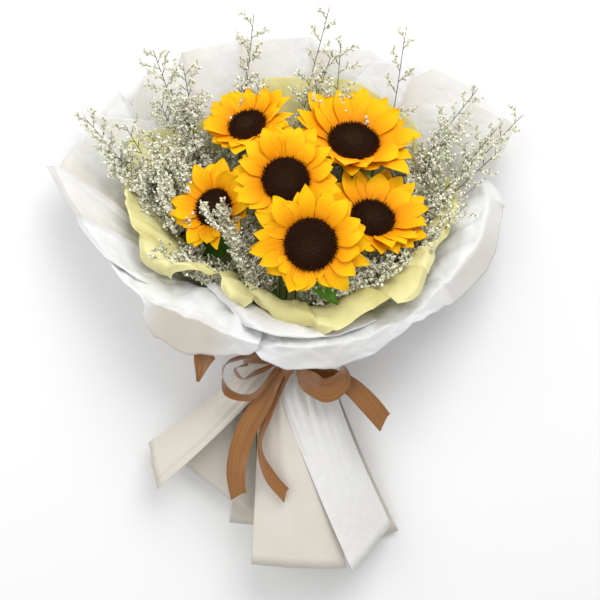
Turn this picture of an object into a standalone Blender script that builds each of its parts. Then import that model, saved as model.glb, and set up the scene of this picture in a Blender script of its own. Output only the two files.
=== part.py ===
"""Six sunflowers and sea lavender, hand-tied in folded paper sheets with a satin bow.

The bunch lies on its back on a table. +Y runs from the cut stem ends to the flowers,
+Z is up and the table is z = 0. Tables and sizes are in millimetres, and every mesh is
scaled to metres as it is made.
"""

import math
import random

import bmesh
import bpy
from mathutils import Matrix, Vector

MM = 0.001
UP = Vector((0, 0, 1))

# The tied neck, where every sheet and stem is drawn together.
NECK_TOP_Y = -64
NECK_BOTTOM_Y = -80
NECK_Z = 44
NECK_HALF_WIDTH = 46
NECK_HALF_HEIGHT = 34

# The open mouth of the wrapper, a wide ring that lies on the table at the back.
MOUTH_HALF_WIDTH = 236
MOUTH_SIDE_Y = 108
MOUTH_BACK_Y = 258
MOUTH_FRONT_Y = -86
MOUTH_SIDE_Z = 62
MOUTH_FRONT_Z = 150
FLARE_SHARE = 0.42
FLARE_RISE = 96
FLARE_RISE_CHANGE = 38
FRONT_RISE_SHARE = 0.55

# The paper, and how far its layers stand apart.
PAPER_THICKNESS = 0.8
INNERMOST_LAYER = 6
LAYER_GAP = 1.6
LAYER_SPREAD = 2.6
COLUMN_ANGLE = 9
FLARE_ROWS = 7
SKIRT_ROWS = 4
CLEARANCE = 0.3

# Sunflower heads and stems.
STEM_RADIUS = 4.0
STEM_END_Y = -262
DISC_HEIGHT = 8
DISC_SEAT = 3.4
CUP_DEPTH = 20
PETALS = 18
PETAL_THICKNESS = 1.6

# Sea lavender sprays.
SPRAY_RADIUS = 1.0
TWIG_RADIUS = 0.8
FLORET_RADIUS = 2.2
SPRAY_END_Y = -250

# The string round the stems, and the satin ribbon round the paper.
STRING_WIDTH = 9
STRING_THICKNESS = 1.5
BAND_WIDTH = 13
BAND_THICKNESS = 1.2
RIBBON_THICKNESS = 0.8
KNOT_RADII = (8.5, 7.5, 6)
KNOT_Y = -76

# name: layer, start and end angle round the neck, outer edge as (angle, reach), and the
# two corners of the free lower end, at the start and the end angle, with the crown between.
WHITE_SHEETS = {
    "wrap_back": (
        0, 206, 302,
        [(206, 0.95), (216, 1.04), (223, 0.98), (230, 1.06), (242, 1.03), (264, 1.06),
         (292, 1.06), (302, 0.97)],
        ((-64, -256, 0), (100, -272, 0)), 0,
    ),
    "wrap_left_front": (
        1, 98, 184,
        [(98, 0.92), (111, 0.97), (125, 0.95), (131, 0.84), (147, 0.82), (170, 0.87),
         (184, 0.74)],
        ((-139, -214, 46), (-150, -166, 20)), 6,
    ),
    "wrap_back_right": (
        1, 288, 350,
        [(288, 0.92), (294, 1.04), (310, 1.07), (325, 1.10), (343, 1.12), (350, 0.95)],
        ((50, -292, 2), (122, -264, 6)), 0,
    ),
    "wrap_left": (
        2, 148, 230,
        [(148, 0.70), (158, 0.84), (172, 0.96), (183, 1.08), (198, 1.0), (216, 0.93),
         (230, 0.86)],
        ((-112, -190, 22), (-22, -260, 4)), 6,
    ),
    "wrap_right": (
        2, -14, 97,
        [(-14, 0.90), (2, 1.0), (17, 1.02), (34, 0.88), (52, 0.88), (66, 0.94), (80, 1.0),
         (91, 0.97), (97, 0.90)],
        ((113, -256, 16), (70, -299, 76)), 6,
    ),
    "wrap_front": (
        3, 60, 132,
        [(60, 0.80), (75, 0.86), (88, 0.78), (100, 0.68), (115, 0.64), (132, 0.6)],
        ((64, -295, 66), (-38, -292, 60)), 12,
    ),
}
LINER_SHEETS = {
    "liner_back": (
        4, 200, 342,
        [(200, 0.80), (215, 0.88), (232, 0.84), (250, 0.86), (275, 0.90), (300, 0.86),
         (322, 0.84), (342, 0.74)],
        None, 0,
    ),
    "liner_left": (
        5, 104, 220,
        [(104, 0.62), (118, 0.70), (135, 0.72), (150, 0.76), (168, 0.82), (185, 0.86),
         (200, 0.82), (220, 0.72)],
        None, 0,
    ),
    "liner_right": (
        6, -38, 118,
        [(-38, 0.74), (-15, 0.82), (5, 0.80), (25, 0.76), (45, 0.76), (62, 0.80),
         (78, 0.68), (92, 0.60), (105, 0.58), (118, 0.50)],
        None, 0,
    ),
}

# centre of the head, disc radius, petal radius, lean of the face from straight up and its
# compass direction from +X, how far the petals cup forward, and where the stem passes the
# neck, as shares of the half width and half height inside the string.
SUNFLOWERS = [
    ((-41, 173, 62), 21, 49, 40, 112, 14, (-0.22, -0.42)),
    ((71, 156, 62), 28, 64, 40, 82, 16, (0.24, -0.38)),
    ((0, 111, 124), 25, 57, 14, 95, 12, (-0.22, 0.20)),
    ((25, 44, 168), 27, 60, 5, 250, 6, (0.12, 0.60)),
    ((89, 73, 98), 24, 58, 36, 75, 12, (0.46, 0.26)),
    ((-75, 85, 88), 21, 50, 30, 150, 12, (-0.54, -0.10)),
]

# angle round the neck, and the way to the tip as (angle, reach, lift off the wall).
SPRAYS = [
    (240, [(243, 0.44, 26), (255, 0.77, 26), (262, 1.10, 42)]),
    (262, [(273, 0.50, 26), (275, 0.80, 27), (280, 1.12, 46)]),
    (283, [(279, 0.50, 24), (285, 0.80, 26), (284, 1.04, 34)]),
    (303, [(302, 0.47, 26), (305, 0.80, 27), (300, 1.12, 42)]),
    (330, [(330, 0.50, 28), (325, 0.83, 30), (328, 1.07, 42)]),
    (357, [(360, 0.11, 13.4), (356, 0.47, 24), (349, 0.80, 27), (346, 1.14, 34)]),
    (45, [(45, 0.15, 19), (44, 0.38, 26), (25, 0.60, 28), (5, 0.84, 36)]),
    (68, [(69, 0.15, 19), (67, 0.36, 24), (56, 0.58, 30), (38, 0.68, 42)]),
    (200, [(203, 0.50, 30), (202, 0.80, 32), (201, 1.04, 44)]),
    (220, [(233, 0.56, 30), (234, 0.88, 33), (234, 1.07, 50)]),
    (180, [(196, 0.44, 40), (207, 0.70, 52), (210, 0.92, 64)]),
    (150, [(148, 0.15, 19), (141, 0.32, 25), (144, 0.50, 28), (155, 0.66, 34)]),
    (115, [(115, 0.15, 20), (113, 0.38, 28)]),
]

# where a spray rises from the wall to stand among the flower heads, and its way off the wall.
AMONG_HEADS = {
    13: [
        ((-51.8, 26.9, 111.4), (0.25, 0.96, 0.13)), ((-64.8, 54.9, 119.3), (0.33, 0.91, 0.25)),
    ],
}

# the sunflower whose stem carries each leaf, how many steps down the stem it grows, its
# tip and its half width.
LEAVES = [
    (6, 2, (-104, 44, 64), 10),
    (3, 1, (-36, 124, 93), 9),
    (4, 2, (52, -16, 134), 9),
]

# route of each strip of ribbon from the knot, as point, direction across and width. The
# height is measured from the front of the neck.
RIBBON_STRIPS = {
    "ribbon_loop_left": [
        ((-10, -73, 11), (0, 2, 9), 7), ((-40, -70, 21), (1, 3, 8), 18),
        ((-64, -80, 24), (2, 2, 8), 20), ((-62, -106, 18), (-2, -2, 8), 20),
        ((-40, -113, 14), (0, -3, 8), 18), ((-10, -82, 11), (3, -5, 8), 7),
    ],
    "ribbon_loop_inner": [
        ((-10, -77, 11), (1, -3, 9), 7), ((-30, -87, 16), (1, -3, 9), 14),
        ((-48, -93, 19), (2, 1, 9), 17), ((-53, -84, 20), (3, 1, 9), 17),
        ((-40, -77, 20), (0, 3, 9), 16),
    ],
    "ribbon_loop_right": [
        ((10, -73, 11), (0, 2, 9), 7), ((34, -72, 22), (0, 3, 8), 18),
        ((60, -80, 22), (3, 2, 7), 22), ((58, -104, 17), (7, -1, 5), 22),
        ((34, -120, 12), (4, -8, 3), 20), ((11, -81, 11), (4, -4, 6), 7),
    ],
    "ribbon_tail_long": [
        ((-5, -85, 10), (9, -4, 1), 7), ((-24, -116, 10), (9, -5, 0), 20),
        ((-45, -155, 9), (9, -3, -1), 22), ((-53, -193, 4), (9, 0, 2), 21),
        ((-50, -222, -2), (9, 1, 3), 18),
    ],
    "ribbon_tail_middle": [
        ((3, -85, 8), (9, 0, 2), 6), ((-18, -130, 5), (7, 0, 6), 12),
        ((-28, -165, 4), (4, 1, 8), 12), ((-17, -196, 4), (8, 5, 3), 14),
        ((3, -220, 3), (7, 6, 0), 14),
    ],
    "ribbon_tail_right": [
        ((66, -98, 8), (4, 8, 2), 20), ((86, -120, 5), (5, 8, 1), 22),
        ((111, -150, -6), (6, 7, 0), 22),
    ],
    "ribbon_tail_left": [
        ((-10, -69, 11), (0, 2, 9), 7), ((-50, -62, 19), (1, 5, 7), 18),
        ((-86, -74, 16), (6, 5, 3), 21), ((-97, -98, 10), (6, 2, 0), 20),
    ],
}


def clear_scene():
    for old in list(bpy.data.objects):
        bpy.data.objects.remove(old, do_unlink=True)


def make_material(name, colour, roughness, metallic=0.0):
    """A Principled material of one colour."""
    made = bpy.data.materials.new(name)
    made.use_nodes = True
    shader = made.node_tree.nodes["Principled BSDF"]
    shader.inputs["Base Color"].default_value = (*colour, 1)
    shader.inputs["Roughness"].default_value = roughness
    shader.inputs["Metallic"].default_value = metallic
    return made


def add_object(name, mesh, material, collection):
    """Scales a mesh from millimetres to metres and adds it as one named object."""
    mesh.transform(Matrix.Scale(MM, 4))
    made = bpy.data.objects.new(name, mesh)
    made.data.materials.append(material)
    collection.objects.link(made)
    return made


def mesh_of(shape, name):
    mesh = bpy.data.meshes.new(name)
    shape.to_mesh(mesh)
    shape.free()
    return mesh


def thicken(made, thickness):
    """Gives an open sheet its thickness, half of it on each side."""
    wall = made.modifiers.new("thickness", "SOLIDIFY")
    wall.thickness = thickness * MM
    wall.offset = 0


def between(stops, at):
    """The value at a place along stops of (place, value), joined by straight lines."""
    for (a, low), (b, high) in zip(stops, stops[1:]):
        if at <= b:
            return low + (high - low) * max(0.0, at - a) / (b - a)
    return stops[-1][1]


def smooth_route(points, steps, paced_by=None):
    """Points on a smooth curve through points, tamed where they are unevenly spaced.

    The spacing of paced_by, or else of the points themselves, sets the curve's pace.
    """
    route = [Vector(point) for point in points]
    paced = [Vector(point) for point in paced_by or points]
    gaps = [(b - a).length for a, b in zip(paced, paced[1:])]
    paces = [(b - a) / gap for a, b, gap in zip(route, route[1:], gaps)]
    ways = [paces[0]]
    for before, after, left, right in zip(paces, paces[1:], gaps, gaps[1:]):
        ways.append((before * right + after * left) / (left + right))
    ways.append(paces[-1])
    found = []
    for k, gap in enumerate(gaps):
        for step in range(steps):
            t = step / steps
            found.append(
                route[k] * (1 + 2 * t) * (1 - t) ** 2 + route[k + 1] * t * t * (3 - 2 * t)
                + (ways[k] * t * (1 - t) ** 2 - ways[k + 1] * t * t * (1 - t)) * gap
            )
    return [*found, route[-1]]


# ---- paper -------------------------------------------------------------------------


def neck_point(angle, inset, y):
    return Vector((
        (NECK_HALF_WIDTH - inset) * math.cos(angle),
        y,
        NECK_Z + (NECK_HALF_HEIGHT - inset) * math.sin(angle),
    ))


def inside_neck(margin):
    """Half width and half height of the room inside the papers, less a margin."""
    layers = INNERMOST_LAYER * LAYER_GAP + PAPER_THICKNESS / 2 + margin
    return NECK_HALF_WIDTH - layers, NECK_HALF_HEIGHT - layers


def mouth_point(angle):
    """A point on the ring of the mouth: high at the front and on the table at the back."""
    across, height = math.cos(angle), math.sin(angle)
    x = MOUTH_HALF_WIDTH * across
    if height >= 0:
        y = MOUTH_SIDE_Y + (MOUTH_FRONT_Y - MOUTH_SIDE_Y) * height
        return Vector((x, y, MOUTH_SIDE_Z + (MOUTH_FRONT_Z - MOUTH_SIDE_Z) * height))
    y = MOUTH_SIDE_Y - (MOUTH_BACK_Y - MOUTH_SIDE_Y) * height
    return Vector((x, y, MOUTH_SIDE_Z * (1 + height) ** 1.5))


def flare_point(angle, reach):
    """A point on the trumpet between the neck, at reach 0, and the mouth, at reach 1."""
    neck, mouth, height = neck_point(angle, 0, NECK_TOP_Y), mouth_point(angle), math.sin(angle)
    bend = neck.lerp(mouth, FLARE_SHARE)
    bend.y = NECK_TOP_Y + FLARE_RISE - FLARE_RISE_CHANGE * height
    if height < 0:
        bend.z *= 1 + height
    else:
        bend.z = neck.z + FRONT_RISE_SHARE * (mouth.z - neck.z)
    return neck * (1 - reach) ** 2 + bend * 2 * reach * (1 - reach) + mouth * reach ** 2


def flare_inward(angle, reach):
    """The direction from the trumpet's wall towards the flowers."""
    step = 0.01
    along = flare_point(angle, reach + step) - flare_point(angle, reach - step)
    around = flare_point(angle + step, reach) - flare_point(angle - step, reach)
    return around.cross(along).normalized()


def paper_point(sheet, share, row):
    """A point of a sheet. share runs round the neck, and row from the free lower end to
    the outer edge: below -1 is skirt, -1 to 0 is the neck and above 0 is the flare."""
    layer, start, end, rim, corners, crown = sheet
    degrees = start + (end - start) * share
    angle = math.radians(degrees)
    inset = layer * LAYER_GAP
    if row >= 0:
        reach = row * between(rim, degrees)
        gap = inset + layer * LAYER_SPREAD * min(reach, 1.0)
        made = flare_point(angle, reach) + flare_inward(angle, max(reach, 0.02)) * gap
        made = made if reach > 0 else neck_point(angle, inset, NECK_TOP_Y)
        floor = gap + PAPER_THICKNESS / 2
    elif row >= -1:
        made = neck_point(angle, inset, NECK_TOP_Y + (NECK_TOP_Y - NECK_BOTTOM_Y) * row)
        floor = 0
    else:
        along = -row - 1
        neck = neck_point(angle, inset, NECK_BOTTOM_Y)
        corner = Vector(corners[0]).lerp(Vector(corners[1]), share)
        corner.z += crown * 4 * share * (1 - share)
        bend = neck.lerp(corner, 0.35)
        bend.x += (neck.x - corner.x) * 0.1
        bend.z += (neck.z - corner.z) * 0.2
        made = neck * (1 - along) ** 2 + bend * 2 * along * (1 - along) + corner * along ** 2
        floor = inset + PAPER_THICKNESS / 2
    made.z = max(made.z, floor)
    return made


def paper_rows(has_skirt):
    """Row values from the free lower end, through the neck, to the outer edge."""
    skirt = [-1 - (SKIRT_ROWS - k) / SKIRT_ROWS for k in range(SKIRT_ROWS * has_skirt)]
    flare = [(k / FLARE_ROWS) ** 1.2 for k in range(FLARE_ROWS + 1)]
    return [*skirt, -1, *flare]


def make_sheet(name, sheet, material, collection):
    """One sheet of paper, gathered at the neck and spread out above and below it."""
    columns = round((sheet[2] - sheet[1]) / COLUMN_ANGLE)
    rows = paper_rows(sheet[4] is not None)
    shape = bmesh.new()
    bmesh.ops.create_grid(shape, x_segments=columns, y_segments=len(rows) - 1, size=0.5)
    for corner in shape.verts:
        row = rows[round((corner.co.y + 0.5) * (len(rows) - 1))]
        corner.co = paper_point(sheet, corner.co.x + 0.5, row)
    made = add_object(name, mesh_of(shape, name), material, collection)
    thicken(made, PAPER_THICKNESS)


# ---- sunflowers --------------------------------------------------------------------


def facing(lean, compass):
    """The direction that a head faces, leaning from straight up towards a compass angle."""
    tilt, turn = math.radians(lean), math.radians(compass)
    return Vector((
        math.sin(tilt) * math.cos(turn), math.sin(tilt) * math.sin(turn), math.cos(tilt)
    ))


def head_place(centre, lean, compass):
    """The matrix that puts a head modelled round +Z in its place."""
    turned = UP.rotation_difference(facing(lean, compass)).to_matrix().to_4x4()
    return Matrix.Translation(Vector(centre)) @ turned


def turned_shape(profile, steps):
    """A closed turned solid from a profile of (radius, height) whose ends are on the axis."""
    shape = bmesh.new()
    points = [shape.verts.new((radius, 0, height)) for radius, height in profile]
    edges = [shape.edges.new(pair) for pair in zip(points, points[1:])]
    bmesh.ops.spin(
        shape, geom=[*points, *edges], axis=(0, 0, 1), cent=(0, 0, 0),
        angle=2 * math.pi, steps=steps, use_merge=True,
    )
    bmesh.ops.remove_doubles(shape, verts=shape.verts, dist=1e-4)
    bmesh.ops.recalc_face_normals(shape, faces=shape.faces)
    return shape


def make_disc(name, place, radius, material, collection):
    """The dark centre, a low dome with a dimple."""
    profile = [
        (0, -DISC_SEAT), (radius - CLEARANCE, -DISC_SEAT), (radius - CLEARANCE, 2),
        (radius * 0.8, DISC_HEIGHT * 0.8), (radius * 0.45, DISC_HEIGHT),
        (radius * 0.2, DISC_HEIGHT * 0.75), (0, DISC_HEIGHT * 0.65),
    ]
    shape = turned_shape(profile, 16)
    shape.transform(place)
    add_object(name, mesh_of(shape, name), material, collection)


def make_cup(name, place, radius, material, collection):
    """The green cup of bracts behind the disc, with pointed bract tips."""
    top = -DISC_SEAT - CLEARANCE
    profile = [
        (0, top), (radius, top), (radius * 1.45, top - 1), (radius * 1.45, top - 2.2),
        (radius * 1.0, top - 5), (radius * 0.55, top - 12), (STEM_RADIUS, -CUP_DEPTH),
        (0, -CUP_DEPTH),
    ]
    points = 12
    shape = turned_shape(profile, points * 2)
    for corner in shape.verts:
        away = math.hypot(corner.co.x, corner.co.y)
        if away > radius * 1.2:
            turn = math.atan2(corner.co.y, corner.co.x) * points / (2 * math.pi)
            if abs(turn - round(turn)) > 0.25:
                corner.co.x *= 0.78
                corner.co.y *= 0.78
    shape.transform(place)
    add_object(name, mesh_of(shape, name), material, collection)


def make_petals(name, place, disc_radius, radius, cup, seed, material, collection):
    """The ring of ray petals as one thin star-edged dish round the disc."""
    chance = random.Random(seed)
    lengths = [chance.uniform(0.9, 1.0) for _ in range(PETALS)]
    rise = math.tan(math.radians(cup))
    inner = disc_radius + PETAL_THICKNESS / 2
    shape = bmesh.new()
    bmesh.ops.create_grid(shape, x_segments=2 * PETALS, y_segments=2, size=0.5)
    for corner in shape.verts:
        column = round((corner.co.x + 0.5) * 2 * PETALS)
        row = round((corner.co.y + 0.5) * 2)
        petal = (column // 2) % PETALS
        tip = radius * (lengths[petal] if column % 2 else 0.74)
        away = (inner, inner * 0.5 + tip * 0.5, tip)[row]
        turn = math.pi * column / PETALS
        height = -1.2 + (away - inner) * rise * (0.6 + 0.4 * row / 2)
        corner.co = (away * math.cos(turn), away * math.sin(turn), height)
    bmesh.ops.remove_doubles(shape, verts=shape.verts, dist=1e-4)
    shape.transform(place)
    made = add_object(name, mesh_of(shape, name), material, collection)
    thicken(made, PETAL_THICKNESS)


def tube_mesh(name, lines, resolution):
    """A mesh of round tubes along lines of (point, radius), with closed ends."""
    curve = bpy.data.curves.new(name, "CURVE")
    curve.dimensions = "3D"
    curve.bevel_depth = 1
    curve.bevel_resolution = resolution
    curve.use_fill_caps = True
    for line in lines:
        spline = curve.splines.new("POLY")
        spline.points.add(len(line) - 1)
        for spot, (point, radius) in zip(spline.points, line):
            spot.co = (*point, 1)
            spot.radius = radius
    made = bpy.data.objects.new(name, curve)
    bpy.context.scene.collection.objects.link(made)
    found = made.evaluated_get(bpy.context.evaluated_depsgraph_get())
    shape = bmesh.new()
    shape.from_mesh(bpy.data.meshes.new_from_object(found))
    bmesh.ops.remove_doubles(shape, verts=shape.verts, dist=1e-4)
    bpy.data.objects.remove(made)
    bpy.data.curves.remove(curve)
    return mesh_of(shape, name)


def stem_route(centre, lean, compass, neck):
    """From behind the head, bending to the neck and on to the cut end."""
    axis = facing(lean, compass)
    top = Vector(centre) - axis * (CUP_DEPTH + CLEARANCE)
    bent = top - axis * 14
    half_width, half_height = inside_neck(STRING_THICKNESS + CLEARANCE)
    x, z = neck[0] * half_width, NECK_Z + neck[1] * half_height
    tied = Vector((x, NECK_TOP_Y, z))
    halfway = bent.lerp(tied, 0.55) - UP * 4
    low = Vector((x, NECK_BOTTOM_Y, z))
    cut = Vector((x * 1.1, STEM_END_Y, z))
    return [top, *smooth_route([bent, halfway, tied, low, cut], 3)]


def make_sunflower(number, flower, materials, collection):
    centre, disc_radius, radius, lean, compass, cup, neck = flower
    name = f"sunflower_{number}"
    place = head_place(centre, lean, compass)
    make_disc(f"{name}_disc", place, disc_radius, materials["disc"], collection)
    make_cup(f"{name}_bracts", place, disc_radius, materials["bract"], collection)
    make_petals(
        f"{name}_petals", place, disc_radius, radius, cup, number, materials["petal"], collection
    )
    route = stem_route(centre, lean, compass, neck)
    stem = tube_mesh(f"{name}_stem", [[(point, STEM_RADIUS) for point in route]], 2)
    add_object(f"{name}_stem", stem, materials["stem"], collection)


# ---- sea lavender and leaves -------------------------------------------------------


def above_wall(angle, reach, lift):
    """A point lifted off the trumpet's wall, and the direction away from the wall."""
    turn = math.radians(angle)
    away = flare_inward(turn, reach)
    return flare_point(turn, reach) + away * lift, away


def spray_route(neck_angle, way, among):
    """The stem's points from its cut end to its tip, and the way off the wall at each."""
    half_width, half_height = inside_neck(STRING_THICKNESS + SPRAY_RADIUS + 3 * CLEARANCE)
    turn = math.radians(neck_angle)
    x, z = half_width * math.cos(turn), half_height * math.sin(turn)
    inward = Vector((-math.cos(turn), 0, -math.sin(turn)))
    places = [above_wall(*stop) for stop in way]
    places += [(Vector(point), Vector(away)) for point, away in among]
    points = [
        (x, SPRAY_END_Y, NECK_Z + z), (x, NECK_BOTTOM_Y, NECK_Z + z),
        (x, NECK_TOP_Y, NECK_Z + z),
        *[point for point, _ in places],
    ]
    aways = [inward] * 3 + [away for _, away in places]
    return smooth_route(points, 3), smooth_route(aways, 3, points)


def twig_lines(stem, aways, chance):
    """Side twigs from the upper stem, on one side and then the other, thick at the tip."""
    last = len(stem) - 1
    length = (stem[last] - stem[last - 5]).length
    lines = []
    for k in range(6):
        root = last - 1 - k
        heading = (stem[root + 1] - stem[root - 1]).normalized()
        side = heading.cross(aways[root]).normalized() * (1 if k % 2 else -1)
        reach = (length * 0.15 + 3.5 * k) * chance.uniform(0.85, 1.1)
        elbow = stem[root] + (heading + side).normalized() * reach * 0.45
        end = elbow + (heading + side * 0.5 + aways[root] * 0.2).normalized() * reach * 0.55
        lines.append([(stem[root], TWIG_RADIUS), (elbow, TWIG_RADIUS), (end, FLORET_RADIUS)])
    return lines


def make_spray(name, spray, among, seed, material, collections):
    """A branching spray: a thin stem with side twigs that thicken where florets sit."""
    stem, aways = spray_route(*spray, among)
    radii = [SPRAY_RADIUS] * (len(stem) - 1) + [FLORET_RADIUS]
    made = add_object(
        name, tube_mesh(name, [list(zip(stem, radii))], 0), material, collections["part"]
    )
    twigs = add_object(
        f"{name}_twigs", tube_mesh(name, twig_lines(stem, aways, random.Random(seed)), 1),
        material, collections["cutters"],
    )
    twigs.hide_render = True
    twigs.display_type = "WIRE"
    join = made.modifiers.new("twigs", "BOOLEAN")
    join.operation = "UNION"
    join.object = twigs


def make_leaf(name, leaf, material, collection):
    """A pointed leaf blade that grows from a stem, folded a little along its middle."""
    flower, steps_down, tip, half_width = leaf
    centre, _, _, lean, compass, _, neck = SUNFLOWERS[flower - 1]
    root, tip = stem_route(centre, lean, compass, neck)[steps_down], Vector(tip)
    base = root + (tip - root).normalized() * (STEM_RADIUS + PETAL_THICKNESS + 2 * CLEARANCE)
    along = tip - base
    side = along.cross(UP).normalized() * half_width
    shape = bmesh.new()
    bmesh.ops.create_grid(shape, x_segments=4, y_segments=2, size=0.5)
    for corner in shape.verts:
        share, across = corner.co.x + 0.5, corner.co.y * 2
        width = 0.12 + 0.88 * math.sin(math.pi * min(1.0, share * 0.9 + 0.04)) ** 0.8
        corner.co = base + along * share + side * across * width + UP * 3 * abs(across) * width
    made = add_object(name, mesh_of(shape, name), material, collection)
    thicken(made, PETAL_THICKNESS)


# ---- string and ribbon -------------------------------------------------------------


def make_ring(name, half_width, half_height, width, thickness, material, collection):
    """A flat band round the neck."""
    shape = bmesh.new()
    bmesh.ops.create_cone(
        shape, segments=36, radius1=1, radius2=1, depth=1, cap_ends=False
    )
    middle = (NECK_TOP_Y + NECK_BOTTOM_Y) / 2
    grown = thickness / 2
    for corner in shape.verts:
        x, z, along = corner.co.x, corner.co.y, corner.co.z
        corner.co = (
            x * (half_width + grown), middle + along * width, NECK_Z + z * (half_height + grown)
        )
    made = add_object(name, mesh_of(shape, name), material, collection)
    thicken(made, thickness)


def make_strip(name, route, material, collection):
    """A flat strip of ribbon along a smooth route, turned and gathered as its route says."""
    steps = 3
    front = Vector((0, 0, NECK_Z + NECK_HALF_HEIGHT))
    line = smooth_route([front + Vector(point) for point, _, _ in route], steps)
    across = [Vector(across).normalized() * width / 2 for _, across, width in route]
    turns = smooth_route(across, steps)
    shape = bmesh.new()
    bmesh.ops.create_grid(shape, x_segments=len(line) - 1, y_segments=1, size=0.5)
    for corner in shape.verts:
        k = round((corner.co.x + 0.5) * (len(line) - 1))
        corner.co = line[k] + turns[k] * (corner.co.y * 2)
    made = add_object(name, mesh_of(shape, name), material, collection)
    thicken(made, RIBBON_THICKNESS)


def make_knot(name, material, collection):
    """The knot, a soft lump that sits on the front of the band."""
    seat = NECK_Z + NECK_HALF_HEIGHT + PAPER_THICKNESS / 2 + 2 * CLEARANCE + BAND_THICKNESS
    shape = bmesh.new()
    bmesh.ops.create_uvsphere(shape, u_segments=12, v_segments=8, radius=1)
    for corner in shape.verts:
        corner.co = (
            corner.co.x * KNOT_RADII[0],
            KNOT_Y + corner.co.y * KNOT_RADII[1],
            seat + KNOT_RADII[2] * (1 + corner.co.z),
        )
    add_object(name, mesh_of(shape, name), material, collection)


def main():
    clear_scene()
    bunch = bpy.data.collections.new("sunflower_bunch")
    cutters = bpy.data.collections.new("cutters")
    for collection in (bunch, cutters):
        bpy.context.scene.collection.children.link(collection)
    materials = {
        "white": make_material("white_paper", (0.86, 0.85, 0.83), 0.7),
        "liner": make_material("pale_green_paper", (0.78, 0.76, 0.42), 0.7),
        "petal": make_material("sunflower_petal", (0.95, 0.48, 0.02), 0.55),
        "disc": make_material("sunflower_disc", (0.05, 0.025, 0.02), 0.9),
        "bract": make_material("sunflower_bract", (0.12, 0.26, 0.05), 0.6),
        "stem": make_material("sunflower_stem", (0.15, 0.3, 0.07), 0.6),
        "spray": make_material("sea_lavender", (0.62, 0.63, 0.6), 0.8),
        "leaf": make_material("leaf", (0.07, 0.2, 0.04), 0.5),
        "string": make_material("string", (0.5, 0.38, 0.2), 0.9),
        "satin": make_material("brown_satin", (0.3, 0.12, 0.03), 0.35),
    }
    for name, sheet in WHITE_SHEETS.items():
        make_sheet(name, sheet, materials["white"], bunch)
    for name, sheet in LINER_SHEETS.items():
        make_sheet(name, sheet, materials["liner"], bunch)
    for number, flower in enumerate(SUNFLOWERS, 1):
        make_sunflower(number, flower, materials, bunch)
    for number, spray in enumerate(SPRAYS, 1):
        make_spray(
            f"sea_lavender_{number}", spray, AMONG_HEADS.get(number, []), number,
            materials["spray"], {"part": bunch, "cutters": cutters},
        )
    for number, leaf in enumerate(LEAVES, 1):
        make_leaf(f"leaf_{number}", leaf, materials["leaf"], bunch)
    string_room = inside_neck(CLEARANCE + STRING_THICKNESS)
    make_ring(
        "stem_string", *string_room, STRING_WIDTH, STRING_THICKNESS, materials["string"], bunch
    )
    on_paper = PAPER_THICKNESS / 2 + CLEARANCE
    make_ring(
        "ribbon_band", NECK_HALF_WIDTH + on_paper, NECK_HALF_HEIGHT + on_paper,
        BAND_WIDTH, BAND_THICKNESS, materials["satin"], bunch,
    )
    make_knot("ribbon_knot", materials["satin"], bunch)
    for name, route in RIBBON_STRIPS.items():
        make_strip(name, route, materials["satin"], bunch)


main()
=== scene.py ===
"""A hand-tied bunch of sunflowers and sea lavender in folded paper, with a satin bow.

The bunch lies on its back on a pale tabletop. +Y runs from the cut stems to the flowers and
+Z is up. Sizes and routes are in millimetres, and each piece is scaled to metres as it is
finished.
"""

from __future__ import annotations

import logging
import math
import random
from dataclasses import dataclass, field
from enum import Enum
from typing import Iterable, Sequence

import bmesh
import bpy
import numpy as np
from mathutils import Matrix, Vector, noise


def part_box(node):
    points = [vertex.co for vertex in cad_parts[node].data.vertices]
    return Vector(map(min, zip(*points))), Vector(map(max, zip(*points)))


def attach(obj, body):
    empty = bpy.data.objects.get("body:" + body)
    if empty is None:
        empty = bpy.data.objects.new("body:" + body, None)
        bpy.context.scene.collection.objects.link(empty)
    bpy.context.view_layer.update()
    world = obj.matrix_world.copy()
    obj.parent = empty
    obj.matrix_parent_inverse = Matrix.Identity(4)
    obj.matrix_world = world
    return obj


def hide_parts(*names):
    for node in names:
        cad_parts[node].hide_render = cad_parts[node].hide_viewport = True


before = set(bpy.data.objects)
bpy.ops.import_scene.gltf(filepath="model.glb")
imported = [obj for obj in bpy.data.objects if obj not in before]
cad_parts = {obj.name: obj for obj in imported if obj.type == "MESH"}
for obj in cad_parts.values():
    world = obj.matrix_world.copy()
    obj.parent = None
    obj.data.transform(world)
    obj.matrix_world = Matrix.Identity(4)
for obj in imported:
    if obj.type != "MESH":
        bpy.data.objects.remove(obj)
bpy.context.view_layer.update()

MM = 0.001
UP = Vector((0, 0, 1))
Stops = Sequence[tuple[float, float]]
log = logging.getLogger("sunflower_bunch")


# ---- small tools -------------------------------------------------------------------


def linear(hex_colour: str) -> tuple[float, float, float, float]:
    """Turns an sRGB hex colour to linear RGBA.

    Args:
        hex_colour: Six hex digits, such as "F2B21A".

    Returns:
        The linear colour with full alpha.
    """
    parts = [int(hex_colour[k : k + 2], 16) / 255 for k in (0, 2, 4)]
    red, green, blue = (
        c / 12.92 if c <= 0.04045 else ((c + 0.055) / 1.055) ** 2.4 for c in parts
    )
    return red, green, blue, 1.0


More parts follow.
